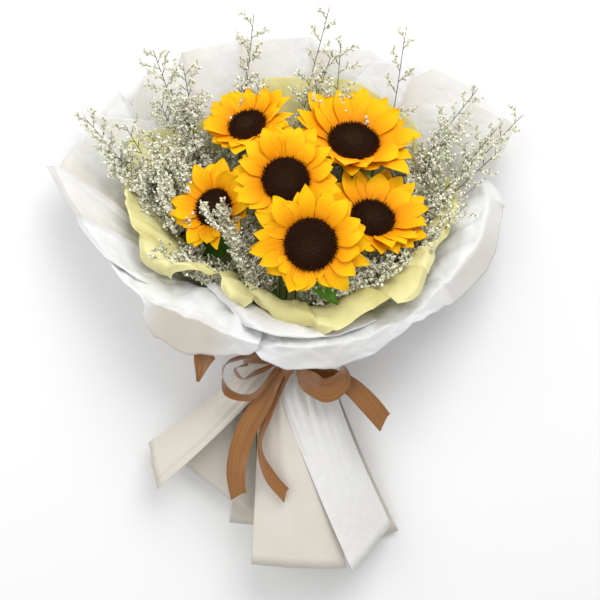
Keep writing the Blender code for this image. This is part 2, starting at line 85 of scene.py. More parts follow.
def add_node(
    tree: bpy.types.NodeTree,
    kind: str,
    values: dict | None = None,
    links: dict | None = None,
    stops: Sequence[tuple[float, str]] = (),
    **settings: object,
) -> bpy.types.Node:
    """Adds a shader node with its settings, values and links.

    Args:
        tree: The material's node tree.
        kind: The node's type name.
        values: Input name or number to its constant value.
        links: Input name or number to the output socket that feeds it.
        stops: A colour ramp's (place, hex colour) pairs.
        **settings: The node's own properties.

    Returns:
        The new node.
    """
    made = tree.nodes.new(kind)
    for name, value in settings.items():
        setattr(made, name, value)
    for name, value in (values or {}).items():
        made.inputs[name].default_value = value
    for name, socket in (links or {}).items():
        tree.links.new(socket, made.inputs[name])
    for k, (place, colour) in enumerate(stops):
        ramp = made.color_ramp
        stop = ramp.elements[k] if k < 2 else ramp.elements.new(place)
        stop.position = place
        stop.color = linear(colour)
    return made


def start_material(
    name: str, settings: dict[str, object]
) -> tuple[bpy.types.Material, bpy.types.NodeTree, bpy.types.Node]:
    """Starts a material on the Principled shader.

    Args:
        name: The material's name.
        settings: The shader's input names and their constant values.

    Returns:
        The material, its node tree and its shader.
    """
    made = bpy.data.materials.new(name)
    made.use_nodes = True
    shader = made.node_tree.nodes["Principled BSDF"]
    for socket, value in settings.items():
        shader.inputs[socket].default_value = value
    return made, made.node_tree, shader


def to_mesh(shape: bmesh.types.BMesh, name: str) -> bpy.types.Mesh:
    """Turns a finished shape to a mesh and frees it.

    Args:
        shape: The shape.
        name: The mesh's name.

    Returns:
        The mesh.
    """
    mesh = bpy.data.meshes.new(name)
    shape.to_mesh(mesh)
    shape.free()
    return mesh


def put_in_scene(name: str, data: bpy.types.ID) -> bpy.types.Object:
    """Makes an object and links it to the scene.

    Args:
        name: The object's name.
        data: Its mesh, curve, light or camera.

    Returns:
        The object.
    """
    made = bpy.data.objects.new(name, data)
    bpy.context.scene.collection.objects.link(made)
    return made


def between(stops: Stops, at: float) -> float:
    """The value at a place along stops, joined by straight lines.

    Args:
        stops: The (place, value) pairs, in order.
        at: The place.

    Returns:
        The value there, or the nearest end's value outside the stops.
    """
    if at <= stops[0][0]:
        return stops[0][1]
    for (a, low), (b, high) in zip(stops, stops[1:]):
        if at <= b:
            return low + (high - low) * (at - a) / (b - a)
    return stops[-1][1]


def ease(low: float, high: float, at: float) -> float:
    """A smooth step from 0 to 1.

    Args:
        low: Where it starts to rise from 0.
        high: Where it reaches 1.
        at: The place.

    Returns:
        The share of the step at that place.
    """
    share = min(1.0, max(0.0, (at - low) / (high - low)))
    return share * share * (3 - 2 * share)


def smooth_route(
    points: Sequence[Sequence[float]], steps: int,
    paced_by: Sequence[Sequence[float]] | None = None,
) -> list[Vector]:
    """Points on a smooth curve, tamed where the points it passes are unevenly spaced.

    Args:
        points: The points that the curve passes through.
        steps: How many pieces each stretch is cut into.
        paced_by: The points whose spacing sets the curve's pace, if not its own.

    Returns:
        The points along the curve, both ends with them.
    """
    route = [Vector(point) for point in points]
    paced = [Vector(point) for point in paced_by or points]
    gaps = [(b - a).length for a, b in zip(paced, paced[1:])]
    paces = [(b - a) / gap for a, b, gap in zip(route, route[1:], gaps)]
    ways = [paces[0]]
    for before, after, left, right in zip(paces, paces[1:], gaps, gaps[1:]):
        ways.append((before * right + after * left) / (left + right))
    ways.append(paces[-1])
    found = []
    for k, gap in enumerate(gaps):
        for step in range(steps):
            t = step / steps
            found.append(
                route[k] * (1 + 2 * t) * (1 - t) ** 2 + route[k + 1] * t * t * (3 - 2 * t)
                + (ways[k] * t * (1 - t) ** 2 - ways[k + 1] * t * t * (1 - t)) * gap
            )
    return [*found, route[-1]]


def tube_mesh(lines: Iterable[Sequence[tuple[Vector, float]]], resolution: int) -> bpy.types.Mesh:
    """Round tubes along lines, with closed ends.

    Args:
        lines: For each tube, its (point, radius) pairs.
        resolution: The bevel resolution, which sets how many sides a tube has.

    Returns:
        One mesh of all the tubes.
    """
    curve = bpy.data.curves.new("tubes", "CURVE")
    curve.dimensions = "3D"
    curve.bevel_depth = 1
    curve.bevel_resolution = resolution
    curve.use_fill_caps = True
    for line in lines:
        spline = curve.splines.new("POLY")
        spline.points.add(len(line) - 1)
        for spot, (point, radius) in zip(spline.points, line):
            spot.co = (*point, 1)
            spot.radius = radius
    made = put_in_scene("tubes", curve)
    found = made.evaluated_get(bpy.context.evaluated_depsgraph_get())
    shape = bmesh.new()
    shape.from_mesh(bpy.data.meshes.new_from_object(found))
    bmesh.ops.remove_doubles(shape, verts=shape.verts, dist=1e-4)
    bpy.data.objects.remove(made)
    bpy.data.curves.remove(curve)
    return to_mesh(shape, "tubes")


def aim(point: Vector, heading: Vector, size: float, turn: float) -> Matrix:
    """The matrix that puts a shape modelled up +Z in its place.

    Args:
        point: Where its origin goes.
        heading: The way that its +Z points.
        size: How much it is scaled.
        turn: Its turn about its own axis, in radians.

    Returns:
        The placing matrix.
    """
    facing = UP.rotation_difference(heading.normalized()).to_matrix().to_4x4()
    return (
        Matrix.Translation(point)
        @ facing
        @ Matrix.Rotation(turn, 4, "Z")
        @ Matrix.Scale(size, 4)
    )


@dataclass
class Piece:
    """A piece in the making: a shape in millimetres, with a tone for each of its points.

    Attributes:
        name: The finished piece's name.
        slot: The record's material slot; it is not used.
        nodes: The frame's nodes that it stands for.
    """

    name: str
    slot: str
    nodes: Sequence[str]
    shape: bmesh.types.BMesh = field(default_factory=bmesh.new)
    tones: list[float] = field(default_factory=list)

    def scatter(self, pattern: bpy.types.Mesh, places: Iterable[tuple[Matrix, float]]) -> None:
        """Adds copies of a small mesh.

        Args:
            pattern: The mesh to copy.
            places: Each copy's matrix and tone.
        """
        for place, tone in places:
            pattern.transform(place)
            self.shape.from_mesh(pattern)
            pattern.transform(place.inverted())
            self.tones += [tone] * len(pattern.vertices)

    def join(self, mesh: bpy.types.Mesh, tone: float = 0.5) -> None:
        """Adds a whole mesh, in one tone.

        Args:
            mesh: The mesh, in millimetres.
            tone: The tone of all its points.
        """
        self.shape.from_mesh(mesh)
        self.tones += [tone] * len(mesh.vertices)

    def finish(self, finishes: Sequence[bpy.types.Material], thickness: float = 0,
               levels: int = 0, sharp: float = 180) -> bpy.types.Object:
        """Makes the object, in metres, and ties it to the frame.

        Args:
            finishes: Its materials, in the order of its faces' material numbers.
            thickness: The wall that an open sheet is given, in millimetres.
            levels: How many times it is subdivided.
            sharp: The angle in degrees above which an edge stays sharp.

        Returns:
            The finished object.
        """
        self.shape.transform(Matrix.Scale(MM, 4))
        mesh = to_mesh(self.shape, self.name)
        if self.tones:
            tone = mesh.attributes.new("tone", "FLOAT", "POINT")
            tone.data.foreach_set("value", self.tones)
        for finish in finishes:
            mesh.materials.append(finish)
        mesh.shade_smooth()
        if sharp < 180:
            mesh.set_sharp_from_angle(angle=math.radians(sharp))
        made = put_in_scene(self.name, mesh)
        if thickness:
            wall = made.modifiers.new("thickness", "SOLIDIFY")
            wall.thickness = thickness * MM
            wall.offset = 0
        if levels:
            soft = made.modifiers.new("soft", "SUBSURF")
            soft.levels = soft.render_levels = levels
        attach(made, "root")
        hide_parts(*self.nodes)
        log.info("%s: %d faces", self.name, len(mesh.polygons))
        return made


# ---- finishes ----------------------------------------------------------------------


@dataclass(frozen=True)
class PetalSkin:
    """Ray petal: thin waxy skin over pigment, so it is saturated, veined and a little glossy.

    Attributes:
        foot: The brown orange at its very foot, painted shade near the disc, and in its veins.
        base: The orange of its lower part, painted shade near the disc.
        middle: The gold of its blade.
        tip: The lighter yellow towards its tip.
        vein_mm: The distance between the long veins.
        width_mm: The width of a petal, which the vein count comes from.
    """

    foot: str = "D07800"
    base: str = "F79C00"
    middle: str = "FBB200"
    tip: str = "FFC808"
    vein_mm: float = 1.3
    width_mm: float = 16

    def material(self) -> bpy.types.Material:
        """Builds the petal material, which follows each petal's own UV.

        Returns:
            The material.
        """
        made, tree, shader = start_material("sunflower_petal_skin", {
            "Roughness": 0.6, "Specular IOR Level": 0.14, "Subsurface Weight": 0.06,
            "Subsurface Radius": (0.004, 0.002, 0.0006),
        })
        uv = add_node(tree, "ShaderNodeUVMap", uv_map="UVMap")
        apart = add_node(tree, "ShaderNodeSeparateXYZ", links={0: uv.outputs[0]})
        tone = add_node(tree, "ShaderNodeAttribute", attribute_name="tone")
        along = add_node(tree, "ShaderNodeMath", {1: 0.22},
                         {0: tone.outputs["Fac"], 2: apart.outputs["X"]},
                         operation="MULTIPLY_ADD")
        # Painted shade: the petals darken to orange towards their foot by the disc; the tip is a
        # lighter yellow.
        colour = add_node(
            tree, "ShaderNodeValToRGB", links={0: along.outputs[0]},
            stops=[(0.02, self.foot), (1.1 / 1.22, self.tip), (0.3, self.base),
                   (0.62, self.middle)],
        )
        lines = add_node(
            tree, "ShaderNodeTexWave",
            {"Scale": self.width_mm / self.vein_mm / 3.18, "Distortion": 1.2,
             "Detail": 2.0, "Detail Scale": 0.8},
            {"Vector": uv.outputs[0]}, bands_direction="Y",
        )
        veins = add_node(tree, "ShaderNodeMapRange", {1: 0.0, 2: 0.6, 3: 0.16, 4: 0.0},
                         {0: lines.outputs["Fac"]})
        veined = add_node(
            tree, "ShaderNodeMix", {7: linear(self.foot)},
            {0: veins.outputs[0], 6: colour.outputs[0]}, data_type="RGBA",
        )
        tree.links.new(veined.outputs[2], shader.inputs["Base Color"])
        bump = add_node(tree, "ShaderNodeBump", {"Strength": 0.4, "Distance": 0.0004},
                        {"Height": lines.outputs["Fac"]})
        tree.links.new(bump.outputs[0], shader.inputs["Normal"])
        return made


@dataclass(frozen=True)
class TonedSkin:
    """Plant skin whose colour comes from each point's tone, with a fine mottle over it.

    Attributes:
        name: The material's name.
        stops: Colours along the tone, from 0 to 1.
        roughness: How matt it is.
        grain_mm: The size of the mottle.
        relief_mm: The depth of the mottle's bump.
        sheen: How much soft down it has.
    """

    name: str
    stops: Sequence[tuple[float, str]]
    roughness: float
    grain_mm: float
    relief_mm: float
    sheen: float = 0.0

    def material(self) -> bpy.types.Material:
        """Builds the material.

        Returns:
            The material.
        """
        made, tree, shader = start_material(self.name, {
            "Roughness": self.roughness, "Specular IOR Level": 0.12,
            "Sheen Weight": self.sheen,
        })
        place = add_node(tree, "ShaderNodeTexCoord")
        tone = add_node(tree, "ShaderNodeAttribute", attribute_name="tone")
        mottle = add_node(
            tree, "ShaderNodeTexNoise",
            {"Scale": 1 / (self.grain_mm * MM), "Detail": 3.0, "Roughness": 0.6},
            {"Vector": place.outputs["Object"]},
        )
        shift = add_node(
            tree, "ShaderNodeMapRange", {1: 0.3, 2: 0.7, 3: -0.12, 4: 0.12},
            {0: mottle.outputs["Fac"]},
        )
        shade = add_node(tree, "ShaderNodeMath", {},
                         {0: tone.outputs["Fac"], 1: shift.outputs[0]}, operation="ADD")
        colour = add_node(tree, "ShaderNodeValToRGB", links={0: shade.outputs[0]},
                          stops=self.stops)
        tree.links.new(colour.outputs[0], shader.inputs["Base Color"])
        bump = add_node(tree, "ShaderNodeBump",
                        {"Strength": 0.6, "Distance": self.relief_mm * MM},
                        {"Height": mottle.outputs["Fac"]})
        tree.links.new(bump.outputs[0], shader.inputs["Normal"])
        return made


@dataclass(frozen=True)
class WrappingPaper:
    """Frosted wrapping paper: fine fibres pressed flat, so it is matt, pale and cloudy.

    Attributes:
        name: The material's name.
        light: Its colour where the pulp is thin and no painted shade is laid on.
        cloud_and_shade: Its colour where the pulp is thick, and also where the tone lays on
            painted shade in the skirt, under laps and on turned flaps.
        cloud_mm: The size of the pulp's clouds.
        fibre_mm: The size of the fibre grain in the bump.
        crease_mm: The distance between its fine creases.
    """

    name: str
    light: str
    cloud_and_shade: str
    cloud_mm: float = 45
    fibre_mm: float = 1.2
    crease_mm: float = 19

    def material(self) -> bpy.types.Material:
        """Builds the paper material on Object coordinates.

        Returns:
            The material.
        """
        made, tree, shader = start_material(self.name, {
            "Roughness": 0.55, "Subsurface Weight": 0.08,
            "Subsurface Radius": (0.002, 0.002, 0.0015), "Sheen Weight": 0.1,
        })
        place = add_node(tree, "ShaderNodeTexCoord")
        cloud = add_node(
            tree, "ShaderNodeTexNoise",
            {"Scale": 1 / (self.cloud_mm * MM), "Detail": 4.0, "Roughness": 0.55},
            {"Vector": place.outputs["Object"]},
        )
        tone = add_node(tree, "ShaderNodeAttribute", attribute_name="tone")
        # Painted shade: the tone attribute adds darkening for the skirt, the laps and the turned
        # flaps, on top of the paper's own pulp clouds.
        mixed = add_node(tree, "ShaderNodeMath", {1: 0.35},
                         {0: cloud.outputs["Fac"], 2: tone.outputs["Fac"]},
                         operation="MULTIPLY_ADD")
        colour = add_node(tree, "ShaderNodeValToRGB", links={0: mixed.outputs[0]},
                          stops=[(0.12, self.light), (0.7, self.cloud_and_shade)])
        tree.links.new(colour.outputs[0], shader.inputs["Base Color"])
        fibre = add_node(
            tree, "ShaderNodeTexNoise",
            {"Scale": 1 / (self.fibre_mm * MM), "Detail": 2.0, "Roughness": 0.7},
            {"Vector": place.outputs["Object"]},
        )
        bump = add_node(tree, "ShaderNodeBump", {"Strength": 0.18, "Distance": 0.0002},
                        {"Height": fibre.outputs["Fac"]})
        bent = add_node(tree, "ShaderNodeVectorMath", {1: (0.02, 0.02, 0.02)},
                        {0: cloud.outputs["Color"], 2: place.outputs["Object"]},
                        operation="MULTIPLY_ADD")
        crease = add_node(tree, "ShaderNodeTexVoronoi", {"Scale": 1 / (self.crease_mm * MM)},
                          {"Vector": bent.outputs[0]}, feature="DISTANCE_TO_EDGE")
        depth = add_node(tree, "ShaderNodeMapRange", {1: 0.0, 2: 0.3, 3: 0.0, 4: 1.0},
                         {0: crease.outputs["Distance"]})
        worn = add_node(tree, "ShaderNodeMapRange", {1: 0.0, 2: 0.4, 3: 1.0, 4: 0.1},
                        {0: tone.outputs["Fac"]})
        height = add_node(tree, "ShaderNodeMath", {},
                          {0: depth.outputs[0], 1: worn.outputs[0]}, operation="MULTIPLY")
        crumpled = add_node(tree, "ShaderNodeBump", {"Strength": 0.42, "Distance": 0.0012},
                            {"Height": height.outputs[0], "Normal": bump.outputs[0]})
        tree.links.new(crumpled.outputs[0], shader.inputs["Normal"])
        return made


@dataclass(frozen=True)
class Satin:
    """Satin ribbon: long floats of thread along its length, so it has a soft streaked gloss.

    Attributes:
        shade: Its colour in the streaks of painted shade along the weave.
        glow: Its colour in the streaks of painted sheen along the threads.
        thread_mm: The thread spacing, drawn coarser than the real 0.1 mm so that it shows.
    """

    shade: str = "75491F"
    glow: str = "A8723C"
    thread_mm: float = 0.5

    def material(self) -> bpy.types.Material:
        """Builds the satin, whose threads run along each strip's own UV.

        Returns:
            The material.
        """
        made, tree, shader = start_material(
            "brown_satin_weave", {"Roughness": 0.3, "Anisotropic": 0.5, "Sheen Weight": 0.1}
        )
        uv = add_node(tree, "ShaderNodeUVMap", uv_map="UVMap")
        streak = add_node(tree, "ShaderNodeMapping", {"Scale": (1.0, 22 / self.thread_mm, 1.0)},
                          {"Vector": uv.outputs[0]})
        thread = add_node(tree, "ShaderNodeTexNoise",
                          {"Scale": 1.0, "Detail": 2.0, "Roughness": 0.5},
                          {"Vector": streak.outputs[0]})
        # Painted sheen: the thread streaks run between the shade and glow colours.
        colour = add_node(tree, "ShaderNodeValToRGB", links={0: thread.outputs["Fac"]},
                          stops=[(0.3, self.shade), (0.7, self.glow)])
        tree.links.new(colour.outputs[0], shader.inputs["Base Color"])
        bump = add_node(tree, "ShaderNodeBump", {"Strength": 0.15, "Distance": 0.0001},
                        {"Height": thread.outputs["Fac"]})
        tree.links.new(bump.outputs[0], shader.inputs["Normal"])
        return made


class Finishes:
    """Every material of the bunch, each built once."""

    def __init__(self) -> None:
        """Builds them all."""
        self.petal = PetalSkin().material()
        self.disc = TonedSkin(
            "sunflower_disc_florets",
            [(0.0, "55502E"), (1.0, "7A4412"), (0.2, "3A2A12"), (0.45, "201004"),
             (0.75, "46220A")], 0.85, 1.2, 0.3,
        ).material()
        self.bract = TonedSkin(
            "sunflower_bract_skin",
            [(0.0, "3C5A1E"), (1.0, "8AA548"), (0.5, "56792B")], 0.6, 2.0, 0.2, 0.3,
        ).material()
        self.stem = TonedSkin(
            "sunflower_stem_skin",
            [(0.0, "5C7A35"), (1.0, "93AA5C"), (0.5, "76914A")], 0.6, 1.5, 0.2, 0.4,
        ).material()
        self.leaf = TonedSkin(
            "leaf_skin", [(0.0, "33601C"), (1.0, "8AB440"), (0.5, "578A2A")], 0.45, 3.0, 0.2,
        ).material()
        self.twig = TonedSkin(
            "sea_lavender_twig",
            [(0.0, "5E4630"), (1.0, "76824A"), (0.5, "61693C")], 0.7, 1.5, 0.1,
        ).material()
        self.floret = TonedSkin(
            "sea_lavender_floret",
            [(0.0, "C4C2AE"), (1.0, "FBFBE8"), (0.3, "DEDDC6"), (0.7, "F1F1DC")],
            0.8, 1.0, 0.1, 0.2,
        ).material()
        self.white_paper = WrappingPaper("frosted_white_paper", "E7E8E9", "D6CFC3").material()
        self.liner_paper = WrappingPaper("pistachio_tissue", "EAE4A6", "C4B664").material()
        self.satin = Satin().material()
        self.twine = TonedSkin(
            "jute_twine", [(0.0, "8A6E45"), (1.0, "C2A676")], 0.9, 0.8, 0.4, 0.3,
        ).material()


# ---- blades: petals, bracts and leaves ---------------------------------------------


class Outline(Enum):
    """How a blade's width runs along it.

    The numbers are the foot's share of the full width, the share of the length where it is
    widest, and the power by which it narrows from there to the tip.
    """

    RAY = (0.62, 0.46, 1.9)
    BRACT = (0.9, 0.25, 1.5)
    LEAF = (0.12, 0.42, 1.9)


@dataclass(frozen=True)
class Blade:
    """A thin pointed blade that grows along +X from the origin, facing +Z.

    Attributes:
        length: From foot to tip.
        width: At its widest.
        outline: Its family of outlines.
        rise: The slope at its foot, in degrees above level.
        droop: How many degrees the slope falls by, towards the tip.
        tip_curl: A further turn of the last third, in degrees.
        twist: The roll at the tip, in degrees.
        trough: How far the edges stand above the middle.
        pleat: The depth of its long folds.
        tone: Its tone for the material.
        seed: A number that sets its own small waves.
    """

    length: float
    width: float
    outline: Outline
    rise: float
    droop: float
    tip_curl: float
    twist: float
    trough: float
    pleat: float
    tone: float
    seed: float

    TIP_SHARE = 0.035

    def half_width(self, along: float) -> float:
        """How wide the blade is at a place along it.

        Args:
            along: The share of the length.

        Returns:
            Half the width there, in millimetres.
        """
        foot, peak, power = self.outline.value
        if along < peak:
            share = foot + (1 - foot) * ease(0, peak, along)
        else:
            share = 1 - ((along - peak) / (1 - peak)) ** power
        return self.width / 2 * max(self.TIP_SHARE, share)

    def grow(self, piece: Piece, place: Matrix, columns: int = 6, rows: int = 9) -> None:
        """Adds the blade to a piece.

        Args:
            piece: The piece in the making.
            place: Where its foot goes.
            columns: Faces across it.
            rows: Faces along it.
        """
        spine = [(0.0, 0.0, math.radians(self.rise))]
        for k in range(rows):
            along = (k + 0.5) / rows
            slope = math.radians(
                self.rise - self.droop * along + self.tip_curl * ease(0.55, 1.0, along)
            )
            x, z, _ = spine[-1]
            step = self.length / rows
            spine.append((x + math.cos(slope) * step, z + math.sin(slope) * step, slope))
        made = bmesh.ops.create_grid(
            piece.shape, x_segments=rows, y_segments=columns, size=0.5, calc_uvs=True
        )
        for corner in made["verts"]:
            along, side = corner.co.x + 0.5, corner.co.y * 2
            x, z, slope = spine[round(along * rows)]
            ripple = 0.6 * noise.noise(Vector((along * 3.1, side * 1.3, self.seed)))
            folds = math.cos(side * 3 * math.pi) * (1 - along * 0.6)
            lift = self.trough * side * side + self.pleat * folds
            lift += ripple * (0.4 + abs(side)) * self.width / 16
            roll = math.radians(self.twist) * along
            across = side * self.half_width(along)
            y = across * math.cos(roll) - lift * math.sin(roll)
            up = across * math.sin(roll) + lift * math.cos(roll)
            corner.co = place @ Vector((x - up * math.sin(slope), y, z + up * math.cos(slope)))
        piece.tones += [self.tone] * len(made["verts"])


def blade_piece(name: str, slot: str, nodes: Sequence[str]) -> Piece:
    """Starts a piece that blades or sheets are added to, with a UV map for them.

    Args:
        name: The piece's name.
        slot: The record's material slot.
        nodes: The frame's nodes that it stands for.

    Returns:
        The empty piece.
    """
    piece = Piece(name, slot, nodes)
    piece.shape.loops.layers.uv.new("UVMap")
    return piece


# ---- sunflowers --------------------------------------------------------------------


@dataclass
class Sunflower:
    """One sunflower: rays, disc, bracts and stem, built where its frame nodes are.

    Attributes:
        number: Its number in the frame's node names.
        petals: How many ray petals each of its two rings has.
        cup: The slope of the rays at their foot, in degrees.
        spread: How far its longest rays grow, as a share of the frame's.
        worn: How much shorter its rays are on the side towards the tie.
        neck: Where its stem passes the neck, as shares of the room inside the string.
    """

    number: int
    petals: int
    cup: float
    spread: float
    worn: float
    neck: tuple[float, float]
    centre: Vector = field(init=False)
    axis: Vector = field(init=False)
    disc_radius: float = field(init=False)
    ray_radius: float = field(init=False)

    DISC_SEAT = 3.4
    STEM_RADIUS = 4.0
    CUP_DEPTH = 20.3
    RAY_FOOT = 0.93
    RAY_RINGS = ((-1.6, 1.0), (0.4, 0.93))
    RAY_CURLS = (-40, -16, 6, 22, 44)
    DOME_SHARE = 0.98
    DOME_INSET = 0.5
    DOME_DROP = 0.6
    DOME_STEPS = (0.92, 0.72, 0.45, 0.22, 0.05)
    DOME = ((0.0, 4.6), (0.22, 5.4), (0.45, 7.4), (0.72, 6.6), (0.92, 3.6), (1.0, 1.6))
    DISC_TONES = ((0.0, 0.02), (0.3, 0.1), (0.42, 0.35), (0.8, 0.6), (1.0, 0.9))
    FLORETS_PER_MM2 = 0.62
    BRACTS = 13
    BRACT_RINGS = ((0.62, -13.2, 12), (0.9, -8.6, 8))
    STRAIGHT_UNDER_HEAD = 14
    CUT_END_Y = -262

    def __post_init__(self) -> None:
        """Reads the head's place, axis and radii from the frame."""
        disc, bracts = self.points("disc"), self.points("bracts")
        petals = self.points("petals")
        middle = disc.mean(axis=0)
        axis = middle - bracts.mean(axis=0)
        axis /= np.linalg.norm(axis)
        heights = (disc - middle) @ axis
        self.axis = Vector(axis)
        self.centre = Vector(middle) + self.axis * (float(heights.min()) + self.DISC_SEAT)
        self.disc_radius = self.reach(disc)
        self.ray_radius = self.reach(petals)

    def points(self, part: str) -> np.ndarray:
        """Reads one of the flower's nodes.

        Args:
            part: The last word of the node's name.

        Returns:
            The node's points as rows, in millimetres.
        """
        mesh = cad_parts[f"sunflower_{self.number}_{part}"].data
        found = np.empty(len(mesh.vertices) * 3)
        mesh.vertices.foreach_get("co", found)
        return found.reshape(-1, 3) / MM

    def reach(self, points: np.ndarray) -> float:
        """Measures how far points reach out from the head's axis.

        Args:
            points: The points as rows.

        Returns:
            The greatest distance.
        """
        away = points - np.array(self.centre)
        flat = away - np.outer(away @ np.array(self.axis), np.array(self.axis))
        return float(np.linalg.norm(flat, axis=1).max())

    def place(self) -> Matrix:
        """Returns the matrix that puts a head modelled round +Z in its place."""
        turned = UP.rotation_difference(self.axis).to_matrix().to_4x4()
        return Matrix.Translation(self.centre) @ turned

    def build(self, finishes: Finishes, wrapper: Wrapper) -> None:
        """Builds the flower's pieces.

        Args:
            finishes: All the materials.
            wrapper: The trumpet that the stem passes through.
        """
        self.build_rays(finishes.petal)
        self.build_disc(finishes.disc)
        self.build_bracts(finishes.bract)
        self.build_stem(finishes.stem, wrapper)

    def build_rays(self, finish: bpy.types.Material) -> None:
        """Builds two overlapping rings of ray petals, each with its own bend, roll and tone.

        Args:
            finish: The petal material.
        """
        name = f"sunflower_{self.number}_rays"
        piece = blade_piece(name, "sunflower_petal", [f"sunflower_{self.number}_petals"])
        chance = random.Random(self.number * 17)
        foot = self.disc_radius * self.RAY_FOOT
        full = self.ray_radius * self.spread - foot
        place = self.place()
        for ring, (height, share) in enumerate(self.RAY_RINGS):
            for k in range(self.petals):
                drift = chance.uniform(-0.22, 0.22)
                turn = 2 * math.pi * (k + 0.5 * ring + drift) / self.petals
                low = -(place.to_3x3() @ Vector((math.cos(turn), math.sin(turn), 0))).y
                worn = 1 - self.worn * ease(0.2, 0.8, low) * chance.random()
                blade = Blade(
                    length=full * share * chance.uniform(0.78, 1.14) * worn,
                    width=2 * math.pi * (foot + full * 0.5) / self.petals
                    * chance.uniform(1.05, 1.6),
                    outline=Outline.RAY,
                    rise=self.cup + 16 + 6 * ring + chance.uniform(-7, 7),
                    droop=30 + chance.uniform(-10, 14),
                    tip_curl=chance.choice(self.RAY_CURLS) * chance.uniform(0.5, 1),
                    twist=chance.uniform(-26, 26),
                    trough=chance.uniform(0.6, 1.8),
                    pleat=chance.uniform(0.2, 0.5),
                    tone=chance.random(),
                    seed=chance.uniform(0, 90),
                )
                at = (
                    place
                    @ Matrix.Rotation(turn, 4, "Z")
                    @ Matrix.Translation((foot, 0, height + chance.uniform(-0.3, 0.3)))
                    @ Matrix.Rotation(chance.uniform(-0.1, 0.1), 4, "X")
                )
                blade.grow(piece, at)
        piece.finish([finish], thickness=0.3, levels=1)

    def floret(self) -> bpy.types.Mesh:
        """Models one disc floret: a small pointed bud.

        Returns:
            Its mesh.
        """
        shape = bmesh.new()
        bmesh.ops.create_cone(
            shape, cap_ends=True, segments=5, radius1=0.62, radius2=0.2, depth=1.3
        )
        bmesh.ops.translate(shape, verts=shape.verts, vec=(0, 0, 0.4))
        return to_mesh(shape, "floret")

    def build_disc(self, finish: bpy.types.Material) -> None:
        """Builds the dark centre: florets in a spiral on a low dome with a dimple.

        Args:
            finish: The disc material.
        """
        name = f"sunflower_{self.number}_florets"
        piece = Piece(name, "sunflower_disc", [f"sunflower_{self.number}_disc"])
        chance = random.Random(self.number * 31)
        radius, place = self.disc_radius, self.place()
        count = round(radius * radius * self.FLORETS_PER_MM2)
        wide = radius * self.DOME_SHARE
        base = bmesh.new()
        bmesh.ops.create_cone(
            base, cap_ends=True, segments=40, radius1=wide, radius2=wide, depth=1,
            matrix=Matrix.Translation((0, 0, -2.5)),
        )
        top = [face for face in base.faces if face.normal.z > 0.9]
        for share in self.DOME_STEPS:
            grown = wide * share
            bmesh.ops.inset_region(base, faces=top, thickness=self.DOME_INSET, depth=0)
            for corner in {corner for face in top for corner in face.verts}:
                flat = Vector((corner.co.x, corner.co.y))
                flat = flat.normalized() * grown
                corner.co = (flat.x, flat.y, between(self.DOME, share) - self.DOME_DROP)
        base.transform(place)
        piece.join(to_mesh(base, "dome"))
        golden = math.pi * (3 - math.sqrt(5))
        places = []
        for k in range(count):
            share = math.sqrt((k + 0.5) / count)
            turn = k * golden
            away = share * radius * 0.985
            lean = 0.9 * max(0.0, share - 0.55) + chance.uniform(-0.22, 0.22)
            heading = Vector((math.cos(turn) * lean, math.sin(turn) * lean, 1))
            size = 0.55 + 0.8 * share + (0.6 if share > 0.82 else 0.25) * chance.random()
            tall = 1.0 + (1.3 * chance.random() if share > 0.7 else 0.9 * chance.random())
            spot = Vector((away * math.cos(turn), away * math.sin(turn),
                           between(self.DOME, share) - self.DOME_DROP))
            local = aim(spot, heading, size, chance.uniform(0, 1)) @ Matrix.Diagonal(
                (1, 1, tall, 1)
            )
            tone = between(self.DISC_TONES, share)
            places.append((place @ local, tone + chance.uniform(-0.12, 0.12)))
        piece.scatter(self.floret(), places)
        piece.finish([finish], sharp=50)

    def build_bracts(self, finish: bpy.types.Material) -> None:
        """Builds the green back: a shallow cup with two rings of pointed bracts.

        Args:
            finish: The bract material.
        """
        name = f"sunflower_{self.number}_sepals"
        piece = blade_piece(name, "sunflower_bract", [f"sunflower_{self.number}_bracts"])
        chance = random.Random(self.number * 53)
        radius, place = self.disc_radius, self.place()
        profile = [(4.2, -19.6), (6.5, -17.5), (radius * 0.6, -14.5), (radius * 0.9, -9.5),
                   (radius * 1.0, -5.0), (radius * 0.9, -4.2), (0.0, -4.2)]
        cup = bmesh.new()
        spots = [cup.verts.new((r, 0, z)) for r, z in [(0.0, -19.9), *profile]]
        edges = [cup.edges.new(pair) for pair in zip(spots, spots[1:])]
        bmesh.ops.spin(cup, geom=[*spots, *edges], axis=(0, 0, 1), cent=(0, 0, 0),
                       angle=2 * math.pi, steps=32, use_merge=True)
        bmesh.ops.remove_doubles(cup, verts=cup.verts, dist=1e-3)
        bmesh.ops.recalc_face_normals(cup, faces=cup.faces)
        cup.transform(place)
        cup_mesh = to_mesh(cup, "cup")
        for ring, (away, height, rise) in enumerate(self.BRACT_RINGS):
            for k in range(self.BRACTS):
                drift = chance.uniform(-0.15, 0.15)
                turn = 2 * math.pi * (k + 0.5 * ring + drift) / self.BRACTS
                blade = Blade(
                    length=radius * chance.uniform(0.72, 0.95), width=radius * 0.42,
                    outline=Outline.BRACT, rise=rise + chance.uniform(-6, 8),
                    droop=chance.uniform(-16, 12), tip_curl=chance.uniform(-30, 10),
                    twist=chance.uniform(-12, 12), trough=1.2, pleat=0.15,
                    tone=chance.random(), seed=chance.uniform(0, 90),
                )
                at = place @ Matrix.Rotation(turn, 4, "Z") @ Matrix.Translation(
                    (radius * away, 0, height)
                )
                blade.grow(piece, at, 4, 6)
        piece.finish([finish], thickness=0.5, levels=1)
        cup_piece = Piece(f"sunflower_{self.number}_receptacle", "sunflower_bract",
                          [f"sunflower_{self.number}_bracts"])
        cup_piece.join(cup_mesh, 0.4)
        cup_piece.finish([finish], sharp=60)

